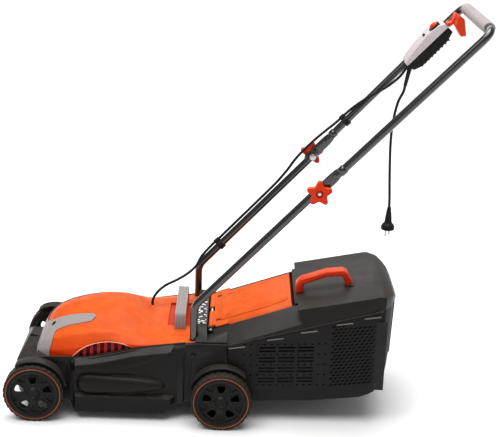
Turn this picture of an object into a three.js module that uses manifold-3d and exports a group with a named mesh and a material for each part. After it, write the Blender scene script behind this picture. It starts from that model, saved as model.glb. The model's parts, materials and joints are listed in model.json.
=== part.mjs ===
// Corded electric rotary lawn mower with a rear grass box, in millimetres.
// +X points to the rear, where the operator stands, +Y to the operator's right hand, +Z up.
// The origin is on the ground, under the middle of the whole machine.
import * as THREE from "three";
import { mergeVertices } from "three/addons/utils/BufferGeometryUtils.js";
import Module from "manifold-3d";

const wasm = await Module();
wasm.setup();

// ---- Driving dimensions ----
const GAP = 0.3; // between pieces that touch
const WHEEL_BASE = 452;
const WHEEL_RADIUS = 72.5;
const WHEEL_SIDES = 24; // even, so that one flat rests on the ground
const TYRE_WIDTH = 35;
const RIM_RADIUS = 60;
const AXLE_RADIUS = 5;
const WHEEL_CLEARANCE = 5; // between a front wheel and the deck
const REAR_WHEEL_CLEARANCE = 15;
const FENDER_CLEARANCE = 4;
const FRONT_AXLE_X = -478.7;
const REAR_AXLE_X = FRONT_AXLE_X + WHEEL_BASE;

const DECK_HALF_WIDTH = 175;
const FRONT_HALF_WIDTH = DECK_HALF_WIDTH - 23;
const REAR_HALF_WIDTH = DECK_HALF_WIDTH - 15;
const DECK_WALL = 4;
const SKIRT_Z = 21;
const RAISED_SKIRT_Z = 46;
const MOTOR_PLATE_Z = 118;
const DECK_TOP_Z = 203;
const NOSE_X = FRONT_AXLE_X - 58;
const DECK_REAR_X = REAR_AXLE_X + 10;
const BLADE_RADIUS = 155;
const BLADE_CLEARANCE = 9;
const BLADE_Z = 42;
const CHAMBER_RADIUS = BLADE_RADIUS + BLADE_CLEARANCE;
const MOTOR_X = (FRONT_AXLE_X + REAR_AXLE_X) / 2 - 14;
const CHUTE_HALF_WIDTH = 80;

const TUBE_RADIUS = 9.5;
const HANDLE_ANGLE = THREE.MathUtils.degToRad(47.2);
const LOWER_LENGTH = 413.6; // from the bend to the fold joint
const UPPER_LENGTH = 521; // from the fold joint to the crossbar
const HANDLE_FOOT_X = REAR_AXLE_X - 71;
const HANDLE_FOOT_Z = 150;
const BEND_Z = 291;
const FOOT_HALF_SPAN = DECK_HALF_WIDTH - 40;
const PIVOT_HALF_SPAN = FOOT_HALF_SPAN + 6;
const CROSSBAR_HALF_SPAN = PIVOT_HALF_SPAN + 39;
const FLAT_END_WIDTH = 25;
const FLAT_END_THICKNESS = 7;
const BOLT_RADIUS = 4;
const KNOB_RADIUS = 30;
const KNOB_THICKNESS = 18;

const HOOD_WALL = 3;
const HOOD_FRONT_X = FRONT_AXLE_X - 4;
const HOOD_REAR_X = HANDLE_FOOT_X + 4;
const HOOD_REAR_Z = 216;
const HOOD_HALF_WIDTH = FRONT_HALF_WIDTH - 4;
const CARRY_X = HANDLE_FOOT_X - 35;
const CARRY_WIDTH = 28;
const CARRY_HALF_SPAN = 90;
const CARRY_HEIGHT = 37;
const CARRY_THICKNESS = 10;
const WELL_DEPTH = 9; // of the finger well under the carry handle

const BOX_GAP = 2; // between the deck and the grass box
const BOX_FRONT_X = DECK_REAR_X + BOX_GAP;
const BOX_LENGTH = 396;
const BOX_REAR_X = BOX_FRONT_X + BOX_LENGTH;
const BOX_HALF_WIDTH = REAR_HALF_WIDTH - 4;
const BOX_WALL = 2.5;
const BOX_BOTTOM_Z = 56;
const SEAM_SLOPE = 0.277;
const BOX_HANDLE_Y = -42;
const BOX_HANDLE_WIDTH = 30;

const FLAP_X = REAR_AXLE_X - 31;
const FLAP_Z = DECK_TOP_Z + 18;
const FLAP_ANGLE = THREE.MathUtils.degToRad(19.25);
const FLAP_LENGTH = 206;
const FLAP_HALF_WIDTH = 112;
const FLAP_PIN_RADIUS = 2.5;

const SWITCH_U = 393; // from the fold joint to the middle of the switch box, along the tube
const SWITCH_LENGTH = 134;
const SWITCH_WIDTH = 64;
const SWITCH_DEPTH = 44;
const CABLE_RADIUS = 3.4;
const RELIEF_LENGTH = 46;
const CORD_DROP = 317; // from the tip of the strain relief to the plug
const CLIP_LENGTH = 14;
const UPPER_CLIP_U = 120;
const LOWER_CLIP_U = -332;

// ---- Materials ----
function material(colour, roughness, metalness) {
  return new THREE.MeshStandardMaterial({ color: colour, roughness, metalness });
}
const blackPlastic = material(0x1b1a1a, 0.55, 0);
const greyPlastic = material(0x8d898b, 0.5, 0);
const lidPlastic = material(0x38353a, 0.5, 0);
const orangePlastic = material(0xf2571d, 0.4, 0);
const redPlastic = material(0xb01c10, 0.5, 0);
const rubber = material(0x171310, 0.9, 0);
const foam = material(0xbab2b0, 0.95, 0);
const blackPaint = material(0x0d0d0e, 0.3, 0.4);
const steel = material(0x9a9da0, 0.35, 1);
const castAluminium = material(0xa5a6a8, 0.5, 1);
const copper = material(0xb0582f, 0.4, 0.3);
const labelFilm = material(0xd9d9d6, 0.4, 0);

// ---- Solids ----
function toSolid(geometry) {
  const bare = geometry.clone();
  bare.deleteAttribute("normal");
  bare.deleteAttribute("uv");
  const merged = mergeVertices(bare, 1e-4);
  const triVerts = new Uint32Array(merged.index.array);
  const vertProperties = merged.attributes.position.array;
  const made = new wasm.Manifold(new wasm.Mesh({ numProp: 3, vertProperties, triVerts }));
  if (made.volume() > 0) {
    return made;
  }
  const turned = triVerts.map((_, i) => triVerts[i - (i % 3) + [0, 2, 1][i % 3]]);
  return new wasm.Manifold(new wasm.Mesh({ numProp: 3, vertProperties, triVerts: turned }));
}

function toGeometry(solid) {
  const mesh = solid.getMesh();
  const geometry = new THREE.BufferGeometry();
  geometry.setAttribute("position", new THREE.BufferAttribute(mesh.vertProperties, 3));
  geometry.setIndex(new THREE.BufferAttribute(mesh.triVerts, 1));
  geometry.computeVertexNormals();
  return geometry;
}

function join(...solids) {
  return solids.reduce((whole, piece) => whole.add(piece));
}

function cut(solid, ...tools) {
  return tools.reduce((rest, tool) => rest.subtract(tool), solid);
}

function block([x0, x1], [y0, y1], [z0, z1]) {
  const geometry = new THREE.BoxGeometry(x1 - x0, y1 - y0, z1 - z0);
  geometry.translate((x0 + x1) / 2, (y0 + y1) / 2, (z0 + z1) / 2);
  return toSolid(geometry);
}

// A round bar along X, Y or Z; centre gives its other two coordinates in order.
function bar(axis, centre, radius, [from, to], sides = 20) {
  const geometry = new THREE.CylinderGeometry(radius, radius, to - from, sides);
  const middle = (from + to) / 2;
  if (axis === "x") {
    geometry.rotateZ(Math.PI / 2);
    geometry.translate(middle, centre[0], centre[1]);
  } else if (axis === "y") {
    geometry.translate(centre[0], middle, centre[1]);
  } else {
    geometry.rotateX(Math.PI / 2);
    geometry.translate(centre[0], centre[1], middle);
  }
  return toSolid(geometry);
}

function outline(points, holes = []) {
  const shape = new THREE.Shape(points.map(([a, b]) => new THREE.Vector2(a, b)));
  shape.holes = holes.map((hole) => new THREE.Path(hole.map(([a, b]) => new THREE.Vector2(a, b))));
  return shape;
}

function extrude(shape, depth) {
  return new THREE.ExtrudeGeometry(shape, { depth, bevelEnabled: false });
}

// An outline of (x, z) points, seen from the side, carried across from y0 to y1.
function sideForm(points, [y0, y1], holes) {
  const geometry = extrude(outline(points, holes), y1 - y0);
  geometry.rotateX(Math.PI / 2);
  geometry.translate(0, y1, 0);
  return toSolid(geometry);
}

// An outline of (x, y) points, seen from above, raised from z0 to z1.
function planForm(points, [z0, z1]) {
  const geometry = extrude(outline(points), z1 - z0);
  geometry.translate(0, 0, z0);
  return toSolid(geometry);
}

// An outline of (y, z) points, seen from the front, carried back from x0 to x1.
function frontForm(points, [x0, x1]) {
  const geometry = extrude(outline(points), x1 - x0);
  geometry.rotateX(Math.PI / 2);
  geometry.rotateZ(Math.PI / 2);
  geometry.translate(x0, 0, 0);
  return toSolid(geometry);
}

// Mirrors half an outline about its second coordinate (plan) or its first (front).
function bothSides(points) {
  return [...points, ...points.map(([x, y]) => [x, -y]).reverse()];
}

function bothHands(points) {
  return [...points, ...points.map(([y, z]) => [-y, z]).reverse()];
}

// A turned piece about the Y axis; its profile is (radius, y) points and closes on itself.
function turnedY(profile, sides, phase = Math.PI / sides) {
  const points = [...profile, profile[0]].map(([r, h]) => new THREE.Vector2(r, h));
  return toSolid(new THREE.LatheGeometry(points, sides, phase));
}

// A turned piece about a vertical axis through (x, y); its profile is (radius, z) points.
function turnedZ(profile, sides, [x, y]) {
  const points = profile.map(([r, h]) => new THREE.Vector2(r, -h));
  const geometry = new THREE.LatheGeometry(points, sides);
  geometry.rotateX(-Math.PI / 2);
  geometry.translate(x, y, 0);
  return toSolid(geometry);
}

// A path through given vertices, so that a tube has rings only where the path turns.
class VertexPath extends THREE.Curve {
  constructor(vertices) {
    super();
    this.vertices = vertices;
  }

  getPoint(t) {
    const place = t * (this.vertices.length - 1);
    const i = Math.min(Math.floor(place), this.vertices.length - 2);
    return this.vertices[i].clone().lerp(this.vertices[i + 1], place - i);
  }

  getPointAt(u) {
    return this.getPoint(u);
  }

  getTangentAt(u) {
    const last = this.vertices.length - 1;
    const i = Math.round(u * last);
    const before = this.vertices[Math.max(i - 1, 0)];
    const here = this.vertices[i];
    const after = this.vertices[Math.min(i + 1, last)];
    const into = here.clone().sub(before).normalize();
    const out = after.clone().sub(here).normalize();
    return into.add(out).normalize();
  }
}

// Rounds each inner corner of a route with an arc of steps segments.
function roundedRoute(corners, radius, steps) {
  const points = corners.map(([x, y, z]) => new THREE.Vector3(x, y, z));
  const route = [points[0]];
  for (let i = 1; i < points.length - 1; i++) {
    const into = points[i].clone().sub(points[i - 1]).normalize();
    const out = points[i + 1].clone().sub(points[i]).normalize();
    const setback = radius * Math.tan(into.angleTo(out) / 2);
    const start = points[i].clone().addScaledVector(into, -setback);
    const end = points[i].clone().addScaledVector(out, setback);
    const arc = new THREE.QuadraticBezierCurve3(start, points[i], end);
    route.push(...arc.getPoints(steps));
  }
  route.push(points[points.length - 1]);
  return route;
}

function roundSection(radius, sides) {
  const turn = (2 * Math.PI) / sides;
  const corner = (_, i) => [radius * Math.cos(i * turn), radius * Math.sin(i * turn)];
  return outline(Array.from({ length: sides }, corner));
}

function tubeThrough(vertices, radius, sides) {
  const extrudePath = new VertexPath(vertices);
  const steps = vertices.length - 1;
  return toSolid(new THREE.ExtrudeGeometry(roundSection(radius, sides), { extrudePath, steps }));
}

// A cord laid along a smooth curve through its points.
function cordThrough(points, radius, sides, steps) {
  const extrudePath = new THREE.CatmullRomCurve3(points.map((p) => new THREE.Vector3(...p)), false, "centripetal");
  return toSolid(new THREE.ExtrudeGeometry(roundSection(radius, sides), { extrudePath, steps }));
}

const mower = new THREE.Group();

function place(group, name, solid, finish) {
  const mesh = new THREE.Mesh(toGeometry(solid), finish);
  mesh.name = name;
  group.add(mesh);
}

// ---- Wheels and axles ----
function tyre() {
  const tread = WHEEL_RADIUS / Math.cos(Math.PI / WHEEL_SIDES);
  return turnedY(
    [
      [RIM_RADIUS + GAP, -TYRE_WIDTH + 2],
      [RIM_RADIUS + 8, -TYRE_WIDTH],
      [tread, -TYRE_WIDTH + 4],
      [tread, -4],
      [RIM_RADIUS + 8.2, 0],
      [RIM_RADIUS + 8.2, -1.6],
      [RIM_RADIUS + 5.4, -1.6],
      [RIM_RADIUS + 5.4, 0],
      [RIM_RADIUS + GAP, -1.5],
    ],
    WHEEL_SIDES,
  );
}

function wheelRing() {
  const inner = RIM_RADIUS + 5.4 + GAP;
  const outer = RIM_RADIUS + 8.2 - GAP;
  return turnedY([[inner, -1.3], [outer, -1.3], [outer, 0.4], [inner, 0.4]], WHEEL_SIDES);
}

// The windows between and inside the five forked spokes, as (angle, radius) corners.
function spokeWindows() {
  const windows = [];
  for (let spoke = 0; spoke < 5; spoke++) {
    const at = (degrees, radius) => {
      const angle = THREE.MathUtils.degToRad(90 + 72 * spoke + degrees);
      return [radius * Math.cos(angle), radius * Math.sin(angle)];
    };
    windows.push([at(-9, 51), at(9, 51), at(0, 31)]);
    windows.push([at(21, 51), at(51, 51), at(54, 22), at(36, 18), at(18, 22)]);
  }
  return windows;
}

function wheelHub() {
  const barrel = turnedY(
    [
      [RIM_RADIUS - 5, -TYRE_WIDTH + 2],
      [RIM_RADIUS, -TYRE_WIDTH + 2],
      [RIM_RADIUS, -2],
      [RIM_RADIUS - 5, -2],
    ],
    WHEEL_SIDES,
  );
  const circle = roundSection(RIM_RADIUS - 4, WHEEL_SIDES).getPoints().map((p) => [p.x, p.y]);
  const web = sideForm(circle, [-12, -4], spokeWindows());
  const boss = bar("y", [0, 0], 13, [-TYRE_WIDTH + 2, -1], 16);
  const bore = bar("y", [0, 0], AXLE_RADIUS + GAP, [-TYRE_WIDTH, -6], 12);
  return cut(join(barrel, web, boss), bore);
}

const FRONT_OUTER_Y = FRONT_HALF_WIDTH + WHEEL_CLEARANCE + TYRE_WIDTH;
const REAR_OUTER_Y = REAR_HALF_WIDTH + REAR_WHEEL_CLEARANCE + TYRE_WIDTH;

function wheel(name, x, outerY, side) {
  const group = new THREE.Group();
  group.position.set(x, side * outerY, WHEEL_RADIUS);
  group.rotation.z = side > 0 ? 0 : Math.PI;
  place(group, "tyre_" + name, tyre(), rubber);
  place(group, "wheel_ring_" + name, wheelRing(), copper);
  place(group, "wheel_hub_" + name, wheelHub(), blackPlastic);
  mower.add(group);
}

wheel("front_left", FRONT_AXLE_X, FRONT_OUTER_Y, -1);
wheel("front_right", FRONT_AXLE_X, FRONT_OUTER_Y, 1);
wheel("rear_left", REAR_AXLE_X, REAR_OUTER_Y, -1);
wheel("rear_right", REAR_AXLE_X, REAR_OUTER_Y, 1);

function axle(x, outerY) {
  return bar("y", [x, WHEEL_RADIUS], AXLE_RADIUS, [-outerY + 8, outerY - 8], 12);
}

place(mower, "front_axle", axle(FRONT_AXLE_X, FRONT_OUTER_Y), steel);
place(mower, "rear_axle", axle(REAR_AXLE_X, REAR_OUTER_Y), steel);

// ---- Deck ----
const HOOD_LINE = [
  [HOOD_FRONT_X, 146],
  [HOOD_FRONT_X + 98, 146],
  [MOTOR_X + 20, 180],
  [HOOD_REAR_X, DECK_TOP_Z],
];

function deckSide() {
  const skirtFront = MOTOR_X - 122;
  const skirtRear = MOTOR_X + 104;
  return [
    [NOSE_X + 8, RAISED_SKIRT_Z],
    [skirtFront, RAISED_SKIRT_Z],
    [skirtFront + 10, SKIRT_Z],
    [skirtRear, SKIRT_Z],
    [skirtRear + 38, RAISED_SKIRT_Z],
    [DECK_REAR_X, RAISED_SKIRT_Z],
    [DECK_REAR_X, DECK_TOP_Z],
    ...HOOD_LINE.slice().reverse(),
    [NOSE_X + 26, 154],
    [NOSE_X + 4, 118],
    [NOSE_X, 90],
  ];
}

function deckPlan() {
  return bothSides([
    [NOSE_X, 84],
    [NOSE_X + 14, 122],
    [NOSE_X + 38, FRONT_HALF_WIDTH - 4],
    [NOSE_X + 62, FRONT_HALF_WIDTH],
    [MOTOR_X - 136, FRONT_HALF_WIDTH],
    [MOTOR_X - 118, DECK_HALF_WIDTH],
    [MOTOR_X + 122, DECK_HALF_WIDTH],
    [MOTOR_X + 146, REAR_HALF_WIDTH],
    [DECK_REAR_X, REAR_HALF_WIDTH],
  ]);
}

function fender(x, [x0, x1], [y0, y1], side) {
  const inner = WHEEL_RADIUS + FENDER_CLEARANCE;
  const ys = side > 0 ? [y0, y1] : [-y1, -y0];
  const ring = cut(
    bar("y", [x, WHEEL_RADIUS], inner + 5, ys, 36),
    bar("y", [x, WHEEL_RADIUS], inner, [ys[0] - 1, ys[1] + 1], 36),
  );
  return ring.intersect(block([x0, x1], ys, [WHEEL_RADIUS + 24, WHEEL_RADIUS + inner + 6]));
}

function fenders() {
  const front = [FRONT_AXLE_X - WHEEL_RADIUS + 1, FRONT_AXLE_X + inside(82)];
  const rear = [REAR_AXLE_X - inside(82), REAR_AXLE_X + 56];
  return [-1, 1].flatMap((side) => [
    fender(FRONT_AXLE_X, front, [FRONT_HALF_WIDTH - 3, FRONT_HALF_WIDTH + 28], side),
    fender(REAR_AXLE_X, rear, [REAR_HALF_WIDTH - 1, REAR_HALF_WIDTH + 26], side),
  ]);
}

function inside(reach) {
  return Math.min(reach, WHEEL_RADIUS + FENDER_CLEARANCE + 5);
}

// The way that cut grass takes from the blade chamber up into the box.
function chute() {
  return sideForm(
    [
      [MOTOR_X + 80, 95],
      [MOTOR_X + 158, 50],
      [REAR_AXLE_X - 20, WHEEL_RADIUS + 12],
      [DECK_REAR_X + 1, WHEEL_RADIUS + 12],
      [DECK_REAR_X + 1, DECK_TOP_Z - 18],
      [REAR_AXLE_X - 30, DECK_TOP_Z - 18],
      [MOTOR_X + 140, MOTOR_PLATE_Z],
      [MOTOR_X + 80, MOTOR_PLATE_Z],
    ],
    [-CHUTE_HALF_WIDTH, CHUTE_HALF_WIDTH],
  );
}

const SCREW_Z = HANDLE_FOOT_Z + 22;

function handleSocket(side) {
  return bar("z", [HANDLE_FOOT_X, side * FOOT_HALF_SPAN], TUBE_RADIUS + 5, [MOTOR_PLATE_Z, DECK_TOP_Z - 7], 20);
}

function handleBore(side, clearance, from) {
  return bar("z", [HANDLE_FOOT_X, side * FOOT_HALF_SPAN], TUBE_RADIUS + clearance, [from, BEND_Z], 16);
}

function deck() {
  const across = [-DECK_HALF_WIDTH - 1, DECK_HALF_WIDTH + 1];
  const body = sideForm(deckSide(), across).intersect(planForm(deckPlan(), [0, BEND_Z]));
  const bayHalf = FRONT_HALF_WIDTH - 16;
  const bay = block([HOOD_FRONT_X + 28, MOTOR_X + 144], [-bayHalf, bayHalf], [MOTOR_PLATE_Z + DECK_WALL, BEND_Z]);
  const chamber = bar("z", [MOTOR_X, 0], CHAMBER_RADIUS, [-5, MOTOR_PLATE_Z], 40);
  const noseHollow = block([NOSE_X + 16, MOTOR_X - CHAMBER_RADIUS - 10], [-106, 106], [0, MOTOR_PLATE_Z - 8]);
  const shaftHole = bar("z", [MOTOR_X, 0], 16, [MOTOR_PLATE_Z - 5, MOTOR_PLATE_Z + 10], 20);
  const pockets = [-1, 1].map((side) => {
    const ys = [CHUTE_HALF_WIDTH + 12, REAR_HALF_WIDTH - 12].map((y) => side * y).sort((a, b) => a - b);
    return block([HANDLE_FOOT_X + 22, DECK_REAR_X - 12], ys, [WHEEL_RADIUS + 22, DECK_TOP_Z + 1]);
  });
  const axleHoles = [FRONT_AXLE_X, REAR_AXLE_X].map((x) =>
    bar("y", [x, WHEEL_RADIUS], AXLE_RADIUS + GAP, across, 12));
  const open = cut(body, bay, chamber, noseHollow, shaftHole, chute(), ...pockets, ...axleHoles);
  const sockets = [-1, 1].map(handleSocket);
  const whole = join(open, ...sockets, ...fenders());
  const bores = [-1, 1].map((side) => handleBore(side, GAP, HANDLE_FOOT_Z - GAP));
  const screwHoles = bar("y", [HANDLE_FOOT_X, SCREW_Z], 3 + GAP, across, 12);
  return cut(whole, ...bores, screwHoles);
}

place(mower, "deck", deck(), blackPlastic);

// ---- Hood, its trims and grilles ----
// The hood's form, set in by an inset on every side, or let out by a negative one.
function hoodForm(inset) {
  const top = [
    [0, 150], [8, 178], [22, 205], [48, 226], [90, 243], [140, 253], [180, 257], [205, 254], [235, 243],
    [262, 228], [285, HOOD_REAR_Z],
  ].map(([x, z]) => [HOOD_FRONT_X + x + inset * (z < 226 && x < 100 ? 1 : 0), z - inset]);
  const under = inset > 0 ? 1 : 0;
  const line = HOOD_LINE.map(([x, z]) => [x, z + GAP - under]);
  line[0][0] += inset;
  line[3][0] -= inset;
  const side = [...line, [HOOD_REAR_X - inset, HOOD_REAR_Z - inset], ...top.reverse()];
  const half = HOOD_HALF_WIDTH - inset;
  const across = bothHands([
    [half, 100], [half - 2, 172], [half - 16, 212], [half - 46, 236], [half - 84, 250 - inset], [4, 258 - inset],
  ]);
  const plan = bothSides([
    [HOOD_FRONT_X + inset, 96 - inset],
    [HOOD_FRONT_X + 30 + inset, half - 20],
    [HOOD_FRONT_X + 90, half],
    [HOOD_REAR_X - inset, half],
  ]);
  return sideForm(side, [-half, half])
    .intersect(frontForm(across, [HOOD_FRONT_X - 20, HOOD_REAR_X + 20]))
    .intersect(planForm(plan, [100, 300]));
}

// The arched air intake in the hood's side.
function intake(inset) {
  const centre = MOTOR_X - 58;
  const half = 66 - inset;
  const arch = [];
  for (let step = 0; step <= 8; step++) {
    const angle = (Math.PI * step) / 8;
    arch.push([centre + half * Math.cos(angle), 168 + (20 - inset) * Math.sin(angle) + 6 * Math.cos(angle)]);
  }
  return [[centre - half, 158 + 1.5 * inset], [centre + half, 172 + 1.5 * inset], ...arch];
}

function sideRange(side, [near, far]) {
  return side > 0 ? [near, far] : [-far, -near];
}

const well = [CARRY_X - CARRY_WIDTH / 2 - 18, CARRY_X + CARRY_WIDTH / 2 + 12];
const WELL_HALF = CARRY_HALF_SPAN - 20;
const CABLE_ENTRY = [MOTOR_X + 57, 40];

function hood() {
  const shell = cut(hoodForm(0), hoodForm(HOOD_WALL));
  const tray = block(
    [well[0] - HOOD_WALL, well[1] + HOOD_WALL],
    [-WELL_HALF - HOOD_WALL, WELL_HALF + HOOD_WALL],
    [HOOD_REAR_Z - WELL_DEPTH - HOOD_WALL, HOOD_REAR_Z - 1],
  );
  const hollow = block(well, [-WELL_HALF, WELL_HALF], [HOOD_REAR_Z - WELL_DEPTH, HOOD_REAR_Z + 5]);
  const intakes = [-1, 1].map((side) => sideForm(intake(0), sideRange(side, [90, 200])));
  const notches = [-1, 1].map((side) => handleBore(side, 1.2, DECK_TOP_Z - 10));
  const cableHole = bar("z", CABLE_ENTRY, CABLE_RADIUS + 2, [DECK_TOP_Z - 10, BEND_Z], 12);
  return cut(join(shell, tray), hollow, cableHole, ...intakes, ...notches);
}

function grille(side) {
  const skin = cut(hoodForm(0.6), hoodForm(HOOD_WALL)).intersect(hoodForm(0));
  const panel = skin.intersect(sideForm(intake(GAP + 0.3), sideRange(side, [100, 200])));
  const slots = [];
  for (let i = -2; i <= 2; i++) {
    const x = MOTOR_X - 58 + i * 19;
    slots.push(block([x - 3, x + 3], sideRange(side, [100, 200]), [167, 179]));
  }
  return cut(panel, ...slots);
}

function trim(side) {
  const skin = cut(hoodForm(-2.2), hoodForm(-GAP));
  const x = HOOD_FRONT_X;
  const blade = sideForm(
    [[x - 6, 149], [x + 20, 149], [x + 28, 186], [x + 44, 214], [x + 116, 229], [x + 112, 243], [x + 40, 230],
      [x + 12, 206], [x - 4, 170]],
    sideRange(side, [70, 200]),
  );
  return skin.intersect(blade);
}

place(mower, "hood", hood(), orangePlastic);
for (const [name, side] of [["left", -1], ["right", 1]]) {
  place(mower, "grille_" + name, grille(side), redPlastic);
  place(mower, "hood_trim_" + name, trim(side), greyPlastic);
}

function carryHandle() {
  const foot = HOOD_REAR_Z + GAP;
  const top = foot + CARRY_HEIGHT;
  const outer = [[CARRY_HALF_SPAN, foot], [CARRY_HALF_SPAN, top - 13], [CARRY_HALF_SPAN - 13, top]];
  const inner = CARRY_HALF_SPAN - CARRY_THICKNESS;
  const under = [[-inner, foot], [-inner, top - 16], [-inner + 7, top - CARRY_THICKNESS]];
  const arch = [...outer, ...outer.map(([y, z]) => [-y, z]).reverse(), ...under,
    ...under.map(([y, z]) => [-y, z]).reverse()];
  return frontForm(arch, [CARRY_X - CARRY_WIDTH / 2, CARRY_X + CARRY_WIDTH / 2]);
}

place(mower, "carry_handle", carryHandle(), greyPlastic);

// ---- Motor and blade ----
const motorAxis = [MOTOR_X, 0];
const PLATE_TOP = MOTOR_PLATE_Z + DECK_WALL;
const STATOR_Z = [PLATE_TOP + 8 + GAP, PLATE_TOP + 84];

function motorBase() {
  const flange = bar("z", motorAxis, 60, [PLATE_TOP + GAP, PLATE_TOP + 8], 28);
  const spigot = bar("z", motorAxis, 15, [MOTOR_PLATE_Z - 6, PLATE_TOP + 2], 20);
  const bore = bar("z", motorAxis, 6 + GAP, [MOTOR_PLATE_Z - 10, PLATE_TOP + 10], 16);
  return cut(join(flange, spigot), bore);
}

function motorStator() {
  const can = bar("z", motorAxis, 46, STATOR_Z, 28);
  return cut(can, bar("z", motorAxis, 20, [STATOR_Z[0] - 1, STATOR_Z[1] + 1], 20));
}

function motorCap() {
  const cap = bar("z", motorAxis, 46, [STATOR_Z[1] + GAP, STATOR_Z[1] + 16], 28);
  return cut(cap, bar("z", motorAxis, 6 + GAP, [STATOR_Z[1] - 1, STATOR_Z[1] + 10], 16));
}

const holderTop = MOTOR_PLATE_Z - 10;

function motorShaft() {
  const rod = bar("z", motorAxis, 6, [BLADE_Z + 12, STATOR_Z[1] + 9], 16);
  return join(rod, bar("z", motorAxis, 19, [STATOR_Z[0] + 6, STATOR_Z[1] - 8], 20));
}

// The blade holder is also the fan that blows the grass to the rear.
function bladeHolder() {
  const hub = bar("z", motorAxis, 17, [BLADE_Z + 4 + GAP, holderTop], 20);
  const disc = bar("z", motorAxis, 52, [BLADE_Z + 4 + GAP, BLADE_Z + 9], 24);
  const vanes = [0, 1, 2, 3].map((quarter) => {
    const vane = quarter % 2 ? [[-2, 2], [-48, 48]] : [[-48, 48], [-2, 2]];
    return block(vane[0].map((x) => x + MOTOR_X), vane[1], [BLADE_Z + 8, BLADE_Z + 30]);
  });
  const bore = bar("z", motorAxis, 6 + GAP, [BLADE_Z + 12 - GAP, holderTop + 1], 16);
  const boltBore = bar("z", motorAxis, 4 + GAP, [BLADE_Z, BLADE_Z + 13], 12);
  return cut(join(hub, disc, ...vanes), bore, boltBore);
}

function blade() {
  const tip = BLADE_RADIUS - 3;
  const flat = planForm(
    [[-tip, -22], [-tip + 60, -25], [tip, -25], [tip, 22], [tip - 60, 25], [-tip, 25]].map(
      ([x, y]) => [x + MOTOR_X, y]),
    [BLADE_Z, BLADE_Z + 4],
  );
  const wings = [-1, 1].map((end) => {
    const xs = [MOTOR_X + end * tip, MOTOR_X + end * (tip - 55)].sort((a, b) => a - b);
    return block(xs, sideRange(end, [21, 25]), [BLADE_Z + 1, BLADE_Z + 14]);
  });
  return cut(join(flat, ...wings), bar("z", motorAxis, 4 + GAP, [BLADE_Z - 1, BLADE_Z + 6], 12));
}

function bladeBolt() {
  const head = bar("z", motorAxis, 10, [BLADE_Z - 9, BLADE_Z - GAP], 6);
  return join(head, bar("z", motorAxis, 4, [BLADE_Z - 2, BLADE_Z + 12 - 2 * GAP], 12));
}

function capacitor() {
  const x = MOTOR_X + 92;
  return bar("y", [x, PLATE_TOP + 17 + GAP], 16, [-34, 34], 16);
}

place(mower, "motor_base", motorBase(), castAluminium);
place(mower, "motor_stator", motorStator(), steel);
place(mower, "motor_cap", motorCap(), castAluminium);
place(mower, "motor_shaft", motorShaft(), steel);
place(mower, "blade_holder", bladeHolder(), blackPlastic);
place(mower, "blade", blade(), steel);
place(mower, "blade_bolt", bladeBolt(), steel);
place(mower, "capacitor", capacitor(), greyPlastic);

// ---- Rear housing, label and flap ----
const HOUSING_FRONT_X = HOOD_REAR_X + GAP;
const LEDGE_Z = DECK_TOP_Z + 27;
const LUG_Y = [FLAP_HALF_WIDTH - 9, FLAP_HALF_WIDTH - 1];

function rearHousing() {
  const side = sideForm(
    [
      [HOUSING_FRONT_X, DECK_TOP_Z + GAP],
      [DECK_REAR_X, DECK_TOP_Z + GAP],
      [DECK_REAR_X, FLAP_Z + 3],
      [FLAP_X - 7, FLAP_Z - 13],
      [FLAP_X - 9, LEDGE_Z],
      [HOUSING_FRONT_X, LEDGE_Z],
    ],
    [-REAR_HALF_WIDTH, REAR_HALF_WIDTH],
  );
  const half = REAR_HALF_WIDTH - 6;
  const across = bothHands([[half, DECK_TOP_Z], [half, DECK_TOP_Z + 4], [half - 44, LEDGE_Z + 4]]);
  const body = side.intersect(frontForm(across, [HOUSING_FRONT_X - 5, DECK_REAR_X + 5]));
  const lugs = [-1, 1].map((hand) => sideForm(
    [[FLAP_X - 8.5, DECK_TOP_Z + 2], [FLAP_X + 8, DECK_TOP_Z + 2], [FLAP_X + 7, FLAP_Z + 6], [FLAP_X - 7, FLAP_Z + 6]],
    sideRange(hand, LUG_Y),
  ));
  const pinHole = bar("y", [FLAP_X, FLAP_Z], FLAP_PIN_RADIUS + GAP, [-REAR_HALF_WIDTH, REAR_HALF_WIDTH], 12);
  const notches = [-1, 1].map((hand) => handleBore(hand, 1.2, DECK_TOP_Z - 10));
  return cut(join(body, ...lugs), pinHole, ...notches);
}

place(mower, "rear_housing", rearHousing(), blackPlastic);
const labelX = [HOUSING_FRONT_X + 3, FLAP_X - 12];
place(mower, "label_plate", block(labelX, [-100, 60], [LEDGE_Z + GAP, LEDGE_Z + GAP + 1]), labelFilm);

const SPRING_HALF = 14;

function flapPin() {
  const rod = bar("y", [FLAP_X, FLAP_Z], FLAP_PIN_RADIUS, [-LUG_Y[1] - 3, LUG_Y[1] + 3], 12);
  return join(rod, bar("y", [FLAP_X, FLAP_Z], FLAP_PIN_RADIUS + 1.5, [-LUG_Y[1] - 4, -LUG_Y[1] - 1], 12));
}

function flapSpring() {
  const turns = 5;
  const perTurn = 7;
  const points = [];
  for (let i = 0; i <= turns * perTurn; i++) {
    const angle = (2 * Math.PI * i) / perTurn;
    const y = -SPRING_HALF + 3 + (i / (turns * perTurn)) * (2 * SPRING_HALF - 6);
    points.push(new THREE.Vector3(FLAP_X + 4.4 * Math.cos(angle), y, FLAP_Z + 4.4 * Math.sin(angle)));
  }
  return tubeThrough(points, 0.7, 5);
}

place(mower, "flap_pin", flapPin(), steel);
place(mower, "flap_spring", flapSpring(), steel);

const flapGroup = new THREE.Group();
flapGroup.position.set(FLAP_X, 0, FLAP_Z);
flapGroup.rotation.y = -FLAP_ANGLE;
mower.add(flapGroup);

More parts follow.
